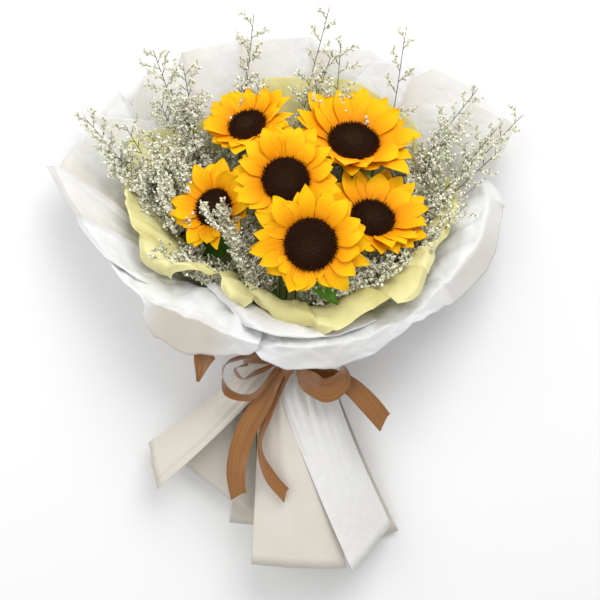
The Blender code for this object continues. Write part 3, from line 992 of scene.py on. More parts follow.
    def stem_route(self, wrapper: Wrapper) -> list[Vector]:
        """Finds the stem's way from behind the head, through the tie to its cut end.

        Args:
            wrapper: The trumpet that it passes through.

        Returns:
            The points of its middle line.
        """
        top = self.centre - self.axis * self.CUP_DEPTH
        bent = top - self.axis * self.STRAIGHT_UNDER_HEAD
        half_width, half_height = wrapper.inside_neck(wrapper.STRING_THICKNESS + 0.3)
        x, z = self.neck[0] * half_width, wrapper.neck_z + self.neck[1] * half_height
        tied = Vector((x, wrapper.NECK_TOP_Y, z))
        halfway = bent.lerp(tied, 0.55) - UP * 4
        low = Vector((x, wrapper.NECK_BOTTOM_Y, z))
        cut = Vector((x * 1.1, self.CUT_END_Y, z))
        return [top, *smooth_route([bent, halfway, tied, low, cut], 8)]

    def build_stem(self, finish: bpy.types.Material, wrapper: Wrapper) -> None:
        """Builds the stem, thicker under the head.

        Args:
            finish: The stem material.
            wrapper: The trumpet that it passes through.
        """
        piece = Piece(f"sunflower_{self.number}_stalk", "sunflower_stem",
                      [f"sunflower_{self.number}_stem"])
        route = self.stem_route(wrapper)
        radii = [self.STEM_RADIUS * (1.12 - 0.16 * ease(0, 0.3, k / len(route)))
                 for k in range(len(route))]
        mesh = tube_mesh([list(zip(route, radii))], 4)
        piece.join(mesh, 0.5)
        piece.finish([finish], sharp=50)


# ---- wrapper -----------------------------------------------------------------------


@dataclass
class Wrapper:
    """The trumpet that every sheet of paper follows: a neck, a mouth and a skirt.

    Attributes:
        neck_half_width: Half the width of the papers at the tie.
        neck_half_height: Half their height there.
        neck_z: The height of the neck's middle.
    """

    neck_half_width: float = field(init=False)
    neck_half_height: float = field(init=False)
    neck_z: float = field(init=False)

    NECK_TOP_Y = -64
    NECK_BOTTOM_Y = -80
    MOUTH_HALF_WIDTH = 236
    MOUTH_SIDE_Y = 108
    MOUTH_BACK_Y = 258
    MOUTH_FRONT_Y = -86
    MOUTH_SIDE_Z = 62
    MOUTH_FRONT_Z = 150
    LAYER_GAP = 1.6
    LAYER_SPREAD = 2.6
    INNERMOST_LAYER = 6
    PAPER_THICKNESS = 0.8
    BAND_THICKNESS = 1.2
    STRING_THICKNESS = 1.5
    CLEARANCE = 0.3
    BEND_SHARE = 0.42
    BEND_Y = 96
    BEND_Y_DROP = 38
    BEND_RISE = 0.55

    def __post_init__(self) -> None:
        """Reads the neck's size and height from the frame's ribbon band."""
        low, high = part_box("ribbon_band")
        around = self.BAND_THICKNESS + self.CLEARANCE + self.PAPER_THICKNESS / 2
        self.neck_half_width = (high[0] - low[0]) / 2 / MM - around
        self.neck_half_height = (high[2] - low[2]) / 2 / MM - around
        self.neck_z = (high[2] + low[2]) / 2 / MM

    def inside_neck(self, margin: float) -> tuple[float, float]:
        """Measures the room inside the papers at the tie.

        Args:
            margin: The space to keep from the papers.

        Returns:
            Half its width and half its height.
        """
        wall = self.INNERMOST_LAYER * self.LAYER_GAP + self.PAPER_THICKNESS / 2 + margin
        return self.neck_half_width - wall, self.neck_half_height - wall

    def neck(self, angle: float, inset: float, y: float) -> Vector:
        """Finds a point on the neck.

        Args:
            angle: The angle round it, in radians.
            inset: The distance in from its wall.
            y: The place along it.

        Returns:
            The point.
        """
        return Vector((
            (self.neck_half_width - inset) * math.cos(angle),
            y,
            self.neck_z + (self.neck_half_height - inset) * math.sin(angle),
        ))

    def mouth(self, angle: float) -> Vector:
        """Finds a point on the mouth, which is high at the front and on the table at the back.

        Args:
            angle: The angle round the neck, in radians.

        Returns:
            The point.
        """
        across, height = math.cos(angle), math.sin(angle)
        x = self.MOUTH_HALF_WIDTH * across
        if height >= 0:
            y = self.MOUTH_SIDE_Y + (self.MOUTH_FRONT_Y - self.MOUTH_SIDE_Y) * height
            z = self.MOUTH_SIDE_Z + (self.MOUTH_FRONT_Z - self.MOUTH_SIDE_Z) * height
            return Vector((x, y, z))
        y = self.MOUTH_SIDE_Y - (self.MOUTH_BACK_Y - self.MOUTH_SIDE_Y) * height
        return Vector((x, y, self.MOUTH_SIDE_Z * (1 + height) ** 1.5))

    def flare(self, angle: float, reach: float) -> Vector:
        """Finds a point on the trumpet between the neck and the mouth.

        Args:
            angle: The angle round the neck, in radians.
            reach: The share of the way to the mouth.

        Returns:
            The point.
        """
        neck, mouth = self.neck(angle, 0, self.NECK_TOP_Y), self.mouth(angle)
        height = math.sin(angle)
        bend = neck.lerp(mouth, self.BEND_SHARE)
        bend.y = self.NECK_TOP_Y + self.BEND_Y - self.BEND_Y_DROP * height
        if height < 0:
            bend.z *= 1 + height
        else:
            bend.z = neck.z + self.BEND_RISE * (mouth.z - neck.z)
        left = 1 - reach
        return neck * left * left + bend * 2 * reach * left + mouth * reach * reach

    def outwards(self, angle: float, reach: float) -> tuple[Vector, Vector, float]:
        """Directions on the trumpet.

        Args:
            angle: The angle round the neck, in radians.
            reach: The share of the way to the mouth.

        Returns:
            The way along it, the way in towards the flowers, and millimetres per reach.
        """
        step = 0.01
        along = self.flare(angle, reach + step) - self.flare(angle, reach - step)
        around = self.flare(angle + step, reach) - self.flare(angle - step, reach)
        return along.normalized(), around.cross(along).normalized(), along.length / (2 * step)

    def lifted(self, angle: float, reach: float, lift: float) -> tuple[Vector, Vector]:
        """Finds a point lifted off the wall.

        Args:
            angle: The angle round the neck, in degrees.
            reach: The share of the way to the mouth.
            lift: The distance off the wall.

        Returns:
            The point, and the direction away from the wall.
        """
        turn = math.radians(angle)
        _, away, _ = self.outwards(turn, reach)
        return self.flare(turn, reach) + away * lift, away


@dataclass(frozen=True)
class PaperSheet:
    """One sheet of paper, gathered at the neck and spread out above and below it.

    Attributes:
        name: The piece's name.
        node: The frame node that it stands for.
        layers: How many sheets lie outside it, as (angle, layers).
        rim: Its upper edge or the fold of its cuff, as (angle, reach), end to end.
        corners: The two corners of its free lower end, or None.
        crown: How far the skirt bows up between them.
        cuff: Its turned-out edge, as (angle, radius, turn in degrees, flap width).
        pleats: The folds where it laps over itself, as (angle, height).
        lobes: Its waves at the rim, as (angle between them, height).
        crumple: The depth of its creases.
        seed: A number that sets its own creases.
        lean: How far it leans in over the flowers, as (angle, x, y).
        fan_out: The row past which it comes back from that lean to its own rim.
        skirt_shade: How much painted shade darkens its skirt.
    """

    name: str
    node: str
    layers: Stops
    rim: Stops
    corners: tuple[tuple[float, float, float], tuple[float, float, float]] | None
    crown: float
    cuff: Sequence[tuple[float, float, float, float]]
    pleats: Stops
    lobes: tuple[float, float]
    crumple: float
    seed: float
    lean: Sequence[tuple[float, float, float]] = ((0, 0, 0),)
    fan_out: float = 9.0
    skirt_shade: float = 0.5

    THICKNESS = 0.35
    FLARE_ROWS = 52
    CUFF_ROWS = 20
    NECK_ROWS = 2
    SKIRT_ROWS = 24
    COLUMN_ANGLE = 1.0
    FOLD_ANGLE = 11
    FOLD_LENGTH = 130
    CRUMPLE_MM = 34
    FINE_CRUMPLE_MM = 16
    LAP_ANGLE = 9
    FINE_GATHERS = 37
    GATHERS = 22
    SLOW_WAVE = 8
    SKIRT_CRUMPLE = 0.13
    FLAP_SHADE = 0.024
    LAP_SHADE = 0.055

    @property
    def start(self) -> float:
        """The angle round the neck where it starts, in degrees."""
        return self.rim[0][0]

    @property
    def end(self) -> float:
        """The angle where it ends."""
        return self.rim[-1][0]

    def rows(self) -> list[float]:
        """Lists the row values from the lower end to the upper.

        Returns:
            -2 at the skirt's end, -1 to 0 at the neck, 1 at the fold and up to 2 past the cuff.
        """
        skirt = [-2 + k / self.SKIRT_ROWS for k in range(self.SKIRT_ROWS)]
        neck = [-1 + k / self.NECK_ROWS for k in range(self.NECK_ROWS)]
        flare = [(k / self.FLARE_ROWS) ** 1.2 for k in range(self.FLARE_ROWS + 1)]
        cuff = [1 + (k + 1) / self.CUFF_ROWS for k in range(self.CUFF_ROWS)]
        return [*(skirt if self.corners else []), *neck, *flare, *cuff]

    def creases(self, point: Vector, degrees: float) -> float:
        """Measures the folds at a point: long ones out from the neck, and crumples.

        Args:
            point: The point, in millimetres.
            degrees: Its angle round the neck.

        Returns:
            Their height, for a crease depth of 1.
        """
        away = math.hypot(point.x, point.y - Wrapper.NECK_TOP_Y)
        along = Vector((degrees / self.FOLD_ANGLE, away / self.FOLD_LENGTH, self.seed))
        shift, fine_shift = Vector((1, 0.7, 0)) * self.seed, Vector((0.3, 1, 0)) * self.seed
        folds = noise.voronoi(along)[0]
        crumples = noise.voronoi(point / self.CRUMPLE_MM + shift)[0]
        fine = noise.voronoi(point / self.FINE_CRUMPLE_MM + fine_shift)[0]
        height = (folds[1] - folds[0] - 0.35) * 1.9 + (crumples[1] - crumples[0] - 0.3) * 1.7
        return height + (fine[1] - fine[0] - 0.3) * 0.55

    def pleat(self, degrees: float) -> float:
        """Measures how far the sheet stands in as its laps fall away from each fold.

        Args:
            degrees: The angle round the neck.

        Returns:
            The distance, in millimetres.
        """
        height = 0.0
        for angle, lap in self.pleats:
            past = degrees - angle
            if past >= 0:
                height += lap * math.exp(-past / self.LAP_ANGLE)
        return height

    def point(self, wrapper: Wrapper, share: float, row: float) -> Vector:
        """A point of the sheet.

        Args:
            wrapper: The trumpet that it follows.
            share: The share of the way round from its start to its end.
            row: The row value.

        Returns:
            The point, in millimetres.
        """
        degrees = self.start + (self.end - self.start) * share
        angle = math.radians(degrees)
        layer = between(self.layers, degrees)
        inset = layer * wrapper.LAYER_GAP
        if row < 0:
            return self.skirt_point(wrapper, share, row, angle, inset)
        rim = between(self.rim, degrees)
        reach = min(row, 1.0) * rim
        along, inward, _ = wrapper.outwards(angle, max(reach, 0.02))
        spread = inset + layer * wrapper.LAYER_SPREAD * min(reach, 1.0)
        gap = spread + self.waves(angle, reach)
        gap += self.pleat(degrees) * ease(0.06, 0.5, reach)
        apart, height = self.lobes
        if height:
            lobe = noise.noise(Vector((degrees / apart, self.seed, 0.0)))
            lobe += 0.35 * noise.noise(Vector((degrees / apart * 2.7, self.seed, 5.0)))
            gap += height * (0.45 + lobe) * 2 * ease(0.25, 1.0, min(row, 1.0)) ** 1.5
        made = wrapper.flare(angle, reach) + inward * gap
        x, y = (between([(stop[0], stop[k]) for stop in self.lean], degrees) for k in (1, 2))
        back = ease(self.fan_out, self.fan_out + 0.36, min(row, 1.0))
        made += Vector((x, y, 0)) * ease(0.1, 0.55, row) * (1 - back)
        if row > 1:
            made += self.cuff_step(degrees, row, along, inward)
        rough = self.crumple * ease(0.05, 0.5, reach)
        made += inward * self.creases(made, degrees) * rough
        floor = spread * 0.6 + 0.3
        if made.z < floor + 6:
            over = (made.z - floor) / 6
            made.z = floor + 6 * (math.exp(over - 1) if over < 1 else over)
        return made

    def cuff_step(self, degrees: float, row: float, along: Vector, inward: Vector) -> Vector:
        """Finds the way from the fold to a point of the cuff: round a bend, then down a flap.

        Args:
            degrees: The angle round the neck.
            row: The row value, past 1.
            along: The way along the trumpet at the fold.
            inward: The way in towards the flowers there.

        Returns:
            The step from the fold.
        """
        radius, turn, flap = (
            between([(stop[0], stop[k]) for stop in self.cuff], degrees) for k in (1, 2, 3)
        )
        turn = math.radians(turn)
        share = row - 1
        bent = turn * min(1.0, share / 0.4)
        straight = flap * max(0.0, share - 0.4) / 0.6
        ripple = 1.2 * noise.noise(Vector((degrees * 0.09, share * 1.5, self.seed)))
        step = along * math.sin(bent) * radius - inward * (1 - math.cos(bent)) * radius
        step += (along * math.cos(bent) - inward * math.sin(bent)) * straight
        return step + along * ripple * share

    def waves(self, angle: float, reach: float) -> float:
        """Measures the gathers at the neck and the slow waves at the rim, alike in every layer.

        Args:
            angle: The angle round the neck, in radians.
            reach: The share of the way to the mouth.

        Returns:
            How far the paper stands in there, in millimetres.
        """
        gathers = math.sin(angle * self.GATHERS) * 1.2
        gathers += math.sin(angle * self.FINE_GATHERS + 1) * 0.6
        gathers *= ease(0.0, 0.1, reach) * (1 - ease(0.12, 0.62, reach))
        slow = noise.noise(Vector((math.cos(angle) * 1.7, math.sin(angle) * 1.7, reach * 1.1)))
        return gathers + (slow + 0.25) * self.SLOW_WAVE * reach * reach

    def painted_shade(self, degrees: float, row: float) -> float:
        """Paints shade into the paper's tone: darker in the skirt, under laps and on the flap.

        Args:
            degrees: The angle round the neck.
            row: The row value.

        Returns:
            The tone for the paper material, which is painted shade.
        """
        # Painted shade: the skirt, the paper under each lap and the turned flap are darkened in
        # colour.
        gathered = self.skirt_shade * ease(0.35, -1.2, row)
        painted_lap_shade = self.LAP_SHADE * self.pleat(degrees) * ease(0.1, 0.5, row)
        flap = between([(stop[0], stop[3]) for stop in self.cuff], degrees)
        turned = self.FLAP_SHADE * max(0.0, flap - 20) * ease(1.0, 1.3, row)
        return gathered + painted_lap_shade + turned

    def skirt_point(
        self, wrapper: Wrapper, share: float, row: float, angle: float, inset: float
    ) -> Vector:
        """Finds a point of the neck or the skirt.

        Args:
            wrapper: The trumpet that it follows.
            share: The share of the way round from its start to its end.
            row: The row value, below 0.
            angle: The angle round the neck, in radians.
            inset: The distance in from the neck's wall.

        Returns:
            The point, in millimetres.
        """
        top, bottom = wrapper.NECK_TOP_Y, wrapper.NECK_BOTTOM_Y
        if row >= -1 or self.corners is None:
            return wrapper.neck(angle, inset, top + (top - bottom) * row)
        along = -row - 1
        neck = wrapper.neck(angle, inset, bottom)
        corner = Vector(self.corners[0]).lerp(Vector(self.corners[1]), share)
        corner.z += self.crown * 4 * share * (1 - share)
        bend = neck.lerp(corner, 0.35)
        bend.x += (neck.x - corner.x) * 0.1
        bend.z += (neck.z - corner.z) * 0.2
        left = 1 - along
        made = neck * left * left + bend * 2 * along * left + corner * along * along
        fade = ease(0.0, 0.12, along)
        out = Vector((math.cos(angle), 0, math.sin(angle)))
        folds = math.sin(angle * self.GATHERS) * 1.1 * (1 - ease(0.1, 0.8, along))
        folds += 1.6 * noise.noise(Vector((share * 5, along * 1.2, self.seed))) * along
        made += out * folds * fade
        rough = self.crumple * self.SKIRT_CRUMPLE * fade
        made += out * self.creases(made, math.degrees(angle)) * rough
        made.z = max(made.z, inset + 0.3)
        return made

    def build(self, wrapper: Wrapper, finish: bpy.types.Material, slot: str) -> None:
        """Args:
            wrapper: The trumpet that it follows.
            finish: Its material.
            slot: The record's material slot.
        """
        piece = blade_piece(self.name, slot, [self.node])
        columns = round((self.end - self.start) / self.COLUMN_ANGLE)
        rows = self.rows()
        made = bmesh.ops.create_grid(
            piece.shape, x_segments=columns, y_segments=len(rows) - 1, size=0.5, calc_uvs=True
        )
        for corner in made["verts"]:
            row = rows[round((corner.co.y + 0.5) * (len(rows) - 1))]
            share = corner.co.x + 0.5
            corner.co = self.point(wrapper, share, row)
            piece.tones.append(self.painted_shade(self.start + (self.end - self.start) * share, row))
        area = sum(face.calc_area() for face in piece.shape.faces) * MM * MM
        line = [self.point(wrapper, 0.5, row) for row in rows]
        sheet = piece.finish([finish], thickness=self.THICKNESS)


PLAIN = ((0, 2.0, 20.0, 1.0),)

WHITE_SHEETS = [
    PaperSheet(
        "back_sheet", "wrap_back", [(0, 0)],
        [(206, 0.93), (216, 1.02), (221, 1.03), (222, 0.96), (230, 1.03), (241, 1.02),
         (242, 1.05), (264, 1.04), (276, 1.05), (277, 1.01), (292, 1.04), (302, 0.95)],
        ((-64, -256, 0), (100, -272, 0)), 0, PLAIN,
        [(221.5, 7), (241.5, 6), (258, 6), (276.5, 7)], (60, 0), 1.6, 3.1,
    ),
    PaperSheet(
        "left_cuff_sheet", "wrap_left_front", [(0, 1)],
        [(98, 0.80), (103, 0.78), (112, 0.73), (123, 0.70), (131, 0.74), (140, 0.76),
         (150, 0.80), (170, 0.86), (184, 0.73)],
        ((-139, -214, 46), (-150, -166, 20)), 6,
        ((98, 1, 70, 5), (104, 1.5, 76, 22), (114, 2, 80, 38), (124, 2, 82, 46),
         (133, 2, 80, 42), (137, 2, 76, 30), (139, 2, 60, 8), (142, 2, 40, 2),
         (184, 2, 20, 1)),
        [], (60, 0), 4.6, 7.7,
        ((98, 0, 6), (108, 0, 20), (122, 0, 28), (136, 4, 24), (150, 12, 14), (165, 16, 2),
         (184, 0, 0)), 0.62, 0.6,
    ),
    PaperSheet(
        "back_right_sheet", "wrap_back_right", [(0, 1)],
        [(288, 0.92), (294, 1.01), (305, 1.03), (306, 1.0), (310, 1.05), (325, 1.07),
         (326, 1.03), (343, 1.09), (350, 0.95)],
        ((50, -292, 2), (122, -264, 6)), 0, PLAIN,
        [(305.5, 7), (325.5, 7), (338, 6)], (60, 0), 1.6, 12.9,
    ),
    PaperSheet(
        "left_sheet", "wrap_left", [(0, 2)],
        [(148, 0.68), (158, 0.82), (172, 0.93), (183, 1.05), (184, 1.0), (198, 0.99),
         (203, 1.0), (208, 1.08), (209, 1.0), (216, 0.95), (230, 0.86)],
        ((-112, -190, 22), (-22, -260, 4)), 6,
        ((148, 2, 20, 1), (165, 4, 50, 5), (183, 6, 60, 10), (200, 3, 30, 3), (230, 2, 20, 1)),
        [(171, 6), (183.5, 7), (208.5, 6)], (60, 0), 2.2, 21.3,
    ),
    PaperSheet(
        "right_roll_sheet", "wrap_right", [(0, 2), (84, 2), (97, 0.3), (112, 0.3)],
        [(-14, 0.88), (0, 0.90), (17, 0.86), (34, 0.80), (50, 0.84), (60, 0.85), (75, 0.84),
         (90, 0.80), (97, 0.78), (101, 0.73), (106, 0.65), (112, 0.58)],
        ((113, -256, 16), (70, -299, 76)), 6,
        ((-14, 3, 40, 4), (0, 4, 70, 24), (17, 5, 84, 34), (34, 4, 80, 28), (46, 3, 60, 12),
         (56, 2, 50, 10), (68, 2, 58, 22), (80, 2, 62, 28), (90, 2, 62, 24), (97, 2, 56, 14),
         (102, 2, 40, 3), (112, 2, 20, 1)),
        [], (60, 0), 4.6, 33.8, skirt_shade=0.12,
    ),
    PaperSheet(
        "front_sheet", "wrap_front", [(0, 3)],
        [(60, 0.76), (75, 0.80), (88, 0.78), (98, 0.755), (103, 0.71), (107, 0.62),
         (114, 0.54), (122, 0.49), (132, 0.44)],
        ((64, -295, 66), (-38, -292, 60)), 12,
        ((60, 2, 20, 1), (98, 3, 40, 2), (106, 5, 90, 5), (132, 4, 80, 4)), [], (60, 0),
        1.4, 41.5, ((60, 0, 0), (98, 0, 6), (112, 0, 18), (132, 0, 28)),
    ),
]

LINER_SHEETS = [
    PaperSheet(
        "liner_back_sheet", "liner_back", [(0, 4)],
        [(200, 0.80), (215, 0.88), (232, 0.84), (233, 0.80), (250, 0.86), (262, 0.86),
         (263, 0.92), (290, 0.93), (300, 0.90), (315, 0.86), (316, 0.82), (330, 0.80),
         (342, 0.73)],
        None, 0, PLAIN, [(232.5, 6), (262.5, 6), (285, 4), (315.5, 5)], (18, 3), 3.0, 55.1,
    ),
    PaperSheet(
        "liner_left_sheet", "liner_left", [(0, 5)],
        [(104, 0.58), (110, 0.64), (117, 0.58), (121, 0.62), (133, 0.70), (145, 0.70),
         (156, 0.74), (168, 0.80), (185, 0.84), (200, 0.80), (220, 0.70)],
        None, 0,
        ((104, 2, 40, 3), (110, 7, 170, 16), (117, 2, 15, 1), (124, 1, 5, 1), (134, 6, 120, 12),
         (146, 8, 165, 24), (157, 4, 60, 6), (166, 2, 15, 2), (190, 3, 30, 3), (220, 2, 20, 1)),
        [(118, 7), (160, 6), (184, 5)], (17, 6), 2.6, 63.9,
        ((104, 2, 14), (116, 0, 26), (132, 0, 28), (146, 6, 20), (160, 18, 6), (178, 22, -2),
         (200, 12, -4), (220, 0, 0)),
    ),
    PaperSheet(
        "liner_right_sheet", "liner_right", [(0, 6)],
        [(-38, 0.72), (-15, 0.80), (5, 0.78), (25, 0.74), (38, 0.78), (50, 0.85), (56, 0.85),
         (57, 0.82), (66, 0.80), (75, 0.79), (80, 0.73), (86, 0.62), (94, 0.54), (104, 0.50),
         (118, 0.44)],
        None, 0,
        ((-38, 2, 20, 1), (0, 3, 40, 3), (25, 4, 70, 6), (45, 5, 80, 8), (57, 2, 15, 1),
         (68, 1, 5, 1), (76, 2, 30, 3), (84, 9, 165, 22), (94, 11, 175, 28), (102, 6, 120, 10),
         (108, 2, 20, 2), (118, 3, 30, 2)),
        [(10, 6), (38, 5), (56.5, 8), (81, 5)], (17, 7), 2.6, 77.2,
        ((-10, 0, 0), (20, -8, 2), (45, -5, 7), (62, 0, 6), (74, 0, 0), (86, 0, 8),
         (100, 0, 14), (118, 0, 14)),
    ),
]


# ---- sea lavender and leaves -------------------------------------------------------


@dataclass(frozen=True)
class SeaLavender:
    """A spray of sea lavender: thin stems that branch into one-sided rows of tiny florets.

    Attributes:
        number: Its number in the frame's node names.
        neck_angle: The angle round the neck where it passes the tie.
        way: Its way to the tip, as (angle, reach, lift off the wall).
        sprigs: How many stems it has, one along the frame's own.
        fullness: How many side branches each stem has.
        blush: How far the stems turn from green to brown, from 0 to 1.
        spread: How many degrees its other stems may stand to either side.
        branched: How many of its route's steps, back from the tip, carry side branches.
    """

    number: int
    neck_angle: float
    way: Sequence[tuple[float, float, float]]
    sprigs: int
    fullness: int
    blush: float = 0.5
    spread: float = 7
    branched: int = 22

    STEM_RADIUS = 0.85
    TWIG_RADIUS = 0.42
    FLORET = 1.32
    CUT_END_Y = -250
    TWIG_STEP = 4.6
    LONGEST_SIDE_TWIG = 9.0
    FLORETS_IN_A_ROW = 4

    def route(self, wrapper: Wrapper, sway: float, shorten: float) -> tuple[list, list]:
        """Finds one stem's way from its cut end to its tip.

        Args:
            wrapper: The trumpet that it follows.
            sway: Its turn to one side, in degrees.
            shorten: Its length as a share of the full way.

        Returns:
            Its points, and the way off the wall at each.
        """
        half_width, half_height = wrapper.inside_neck(wrapper.STRING_THICKNESS + 1.9)
        turn = math.radians(self.neck_angle + sway * 0.4)
        x, z = half_width * math.cos(turn), half_height * math.sin(turn)
        inward = Vector((-math.cos(turn), 0, -math.sin(turn)))
        stops = [
            (angle + sway * (0.4 + 0.6 * k / len(self.way)),
             reach * (1 - (1 - shorten) * k / (len(self.way) - 1)), lift)
            for k, (angle, reach, lift) in enumerate(self.way)
        ]
        places = [wrapper.lifted(*stop) for stop in stops]
        points = [
            (x, self.CUT_END_Y, wrapper.neck_z + z),
            (x, wrapper.NECK_BOTTOM_Y, wrapper.neck_z + z),
            (x, wrapper.NECK_TOP_Y, wrapper.neck_z + z), *[point for point, _ in places],
        ]
        aways = [inward] * 3 + [away for _, away in places]
        return smooth_route(points, 10), smooth_route(aways, 10, points)

    def floret(self) -> bpy.types.Mesh:
        """Models one floret: a papery funnel with five lobes.

        Returns:
            Its mesh.
        """
        shape = bmesh.new()
        bmesh.ops.create_cone(
            shape, cap_ends=True, segments=5, radius1=0.2, radius2=0.62, depth=1.1,
            matrix=Matrix.Translation((0, 0, 0.55)),
        )
        top = [face for face in shape.faces if face.normal.z > 0.7]
        bmesh.ops.inset_region(shape, faces=top, thickness=-0.38, depth=0.25)
        bmesh.ops.inset_region(shape, faces=top, thickness=0.62, depth=-0.3)
        for face in shape.faces:
            face.material_index = 1
        return to_mesh(shape, "sea_lavender_floret")

    def twig(
        self, root: Vector, heading: Vector, away: Vector, reach: float, chance: random.Random
    ) -> tuple[list[list[tuple[Vector, float]]], list[tuple[Matrix, float]]]:
        """Grows a side branch with its own short twigs and florets.

        Args:
            root: Where it leaves the stem.
            heading: The way it sets off.
            away: The way off the wall.
            reach: Its length.
            chance: The source of its small differences.

        Returns:
            Its tube lines, and its florets' places and tones.
        """
        lines, florets = [], []
        steps = max(3, round(reach / self.TWIG_STEP))
        spine, at, going = [root], root.copy(), heading.normalized()
        for _ in range(steps):
            drift = Vector([chance.uniform(-0.22, 0.22) for _ in range(3)])
            going = (going + away * 0.07 + drift).normalized()
            at = at + going * reach / steps
            spine.append(at)
        lines.append([(point, self.TWIG_RADIUS * (1 - 0.4 * k / steps))
                      for k, point in enumerate(spine)])
        for k in range(1, steps + 1):
            along = (spine[k] - spine[k - 1]).normalized()
            side = along.cross(away).normalized() * (1 if k % 2 else -1)
            out = (along * 0.8 + side * 0.7 + away * 0.25).normalized()
            long = min(self.LONGEST_SIDE_TWIG, reach * 0.22)
            tip = spine[k] + out * long * chance.uniform(0.7, 1.2)
            lines.append([(spine[k], self.TWIG_RADIUS * 0.8), (tip, self.TWIG_RADIUS * 0.6)])
            for start, end in ((spine[k], tip), (spine[k - 1], spine[k])):
                if k == 1 and start is spine[0]:
                    continue
                florets += self.row(start, end, away, chance)
        return lines, florets

    def row(
        self, start: Vector, end: Vector, away: Vector, chance: random.Random
    ) -> list[tuple[Matrix, float]]:
        """Places a short row of florets along a twig.

        Args:
            start: Where the twig starts.
            end: Where it ends.
            away: The way off the wall.
            chance: The source of its small differences.

        Returns:
            The florets' places and tones.
        """
        along = end - start
        found = []
        for k in range(self.FLORETS_IN_A_ROW):
            spot = start + along * (0.3 + 0.24 * k)
            drift = Vector([chance.uniform(-0.8, 0.8) for _ in range(3)])
            heading = along.normalized() * 0.7 + away * 0.35 + drift
            size = self.FLORET * chance.uniform(0.75, 1.25)
            found.append((aim(spot, heading, size, chance.uniform(0, 1)), chance.random()))
        return found

    def build(self, wrapper: Wrapper, finishes: Finishes) -> None:
        """Builds the spray as one piece.

        Args:
            wrapper: The trumpet that it follows.
            finishes: All the materials.
        """
        chance = random.Random(self.number * 101)
        lines, florets = [], []
        for sprig in range(self.sprigs):
            sway = 0.0 if sprig == 0 else chance.uniform(-self.spread, self.spread)
            shorten = 1.0 if sprig == 0 else chance.uniform(0.66, 0.94)
            stem, aways = self.route(wrapper, sway, shorten)
            last = len(stem) - 1
            lines.append([(point, self.STEM_RADIUS * (1 - 0.55 * k / last))
                          for k, point in enumerate(stem)])
            first = last - self.branched
            for k in range(self.fullness):
                spot = last - 1 - (last - 1 - first) * k / self.fullness
                root = round(spot)
                heading = (stem[min(last, root + 1)] - stem[root - 1]).normalized()
                away = aways[root].normalized()
                side = heading.cross(away).normalized() * (1 if k % 2 else -1)
                start = heading * 0.75 + side * chance.uniform(0.5, 0.9)
                start += away * chance.uniform(-0.1, 0.5)
                reach = (15 + 16 * (k / self.fullness) ** 0.7) * chance.uniform(0.7, 1.3)
                more, blooms = self.twig(stem[root], start, away, reach, chance)
                lines += more
                florets += blooms
            florets += self.row(stem[last - 2], stem[last], aways[last].normalized(), chance)
        piece = Piece(f"sea_lavender_spray_{self.number}", "sea_lavender",
                      [f"sea_lavender_{self.number}"])
        piece.join(tube_mesh(lines, 0), 1 - self.blush)
        piece.scatter(self.floret(), florets)
        piece.finish([finishes.twig, finishes.floret], sharp=70)


SEA_LAVENDER = [
    SeaLavender(1, 240, [(243, 0.44, 26), (255, 0.77, 26), (262, 1.10, 42)], 5, 20),
    SeaLavender(2, 262, [(273, 0.50, 26), (275, 0.80, 27), (280, 1.12, 46)], 5, 20),
    SeaLavender(3, 283, [(279, 0.50, 24), (285, 0.80, 26), (284, 1.04, 34)], 3, 18),
    SeaLavender(4, 303, [(302, 0.47, 26), (305, 0.80, 27), (300, 1.12, 42)], 2, 16, 0.8),
    SeaLavender(5, 330, [(330, 0.50, 28), (325, 0.83, 30), (328, 1.07, 42)], 6, 20, 0.5, 9),
    SeaLavender(6, 357, [(360, 0.11, 13.4), (356, 0.47, 24), (349, 0.80, 27), (346, 1.14, 34)],
                4, 18),
    SeaLavender(7, 45, [(45, 0.15, 19), (44, 0.38, 26), (25, 0.60, 28), (5, 0.84, 36)],
                5, 18, 0.5, 10),
    SeaLavender(8, 68, [(69, 0.15, 19), (67, 0.36, 24), (56, 0.58, 30), (38, 0.68, 42)],
                7, 18, 0.4, 13),
    SeaLavender(9, 200, [(203, 0.50, 30), (202, 0.80, 32), (201, 1.04, 44)], 6, 20, 0.5, 9),
    SeaLavender(10, 220, [(233, 0.56, 30), (234, 0.88, 33), (234, 1.07, 50)], 6, 20, 0.5, 9),
    SeaLavender(11, 180, [(196, 0.44, 40), (207, 0.70, 52), (210, 0.92, 64)], 6, 19, 0.5, 12),
    SeaLavender(12, 150, [(148, 0.15, 19), (141, 0.32, 25), (144, 0.50, 28), (155, 0.66, 34)],
                7, 18, 0.4, 14),
    SeaLavender(13, 115, [(115, 0.15, 20), (113, 0.38, 28), (122, 0.46, 62), (136, 0.51, 86),
                      (156, 0.56, 97)], 8, 25, 0.5, 14, 33),
]


@dataclass(frozen=True)
class Leaf:
    """A green leaf that grows from a stem.

    Attributes:
        number: Its number in the frame's node names.
        flower: The number of the sunflower whose stem carries it.
        steps_down: How far down the frame's stem it grows, in the frame's steps.
        tip: Where it ends.
        half_width: Half its width.
    """

    number: int
    flower: int
    steps_down: int
    tip: tuple[float, float, float]
    half_width: float

    FULLNESS = 2.5
    ROUTE_POINTS_PER_STEP = 8 / 3

    def build(self, root: Vector, finish: bpy.types.Material) -> None:
        """Builds the leaf.

        Args:
            root: Where it grows from the stem.
            finish: The leaf material.
        """
        piece = blade_piece(f"leaf_blade_{self.number}", "leaf", [f"leaf_{self.number}"])
        along = Vector(self.tip) - root
        side = UP.cross(along).normalized()
        facing = along.normalized().cross(side)
        turned = Matrix((along.normalized(), side, facing)).transposed().to_4x4()
        blade = Blade(
            length=along.length, width=self.half_width * self.FULLNESS,
            outline=Outline.LEAF, rise=6, droop=16, tip_curl=-8, twist=8, trough=2.4,
            pleat=0.0, tone=0.5, seed=self.number * 5.0,
        )
        blade.grow(piece, Matrix.Translation(root) @ turned, 8, 14)
        piece.finish([finish], thickness=0.5, levels=1)


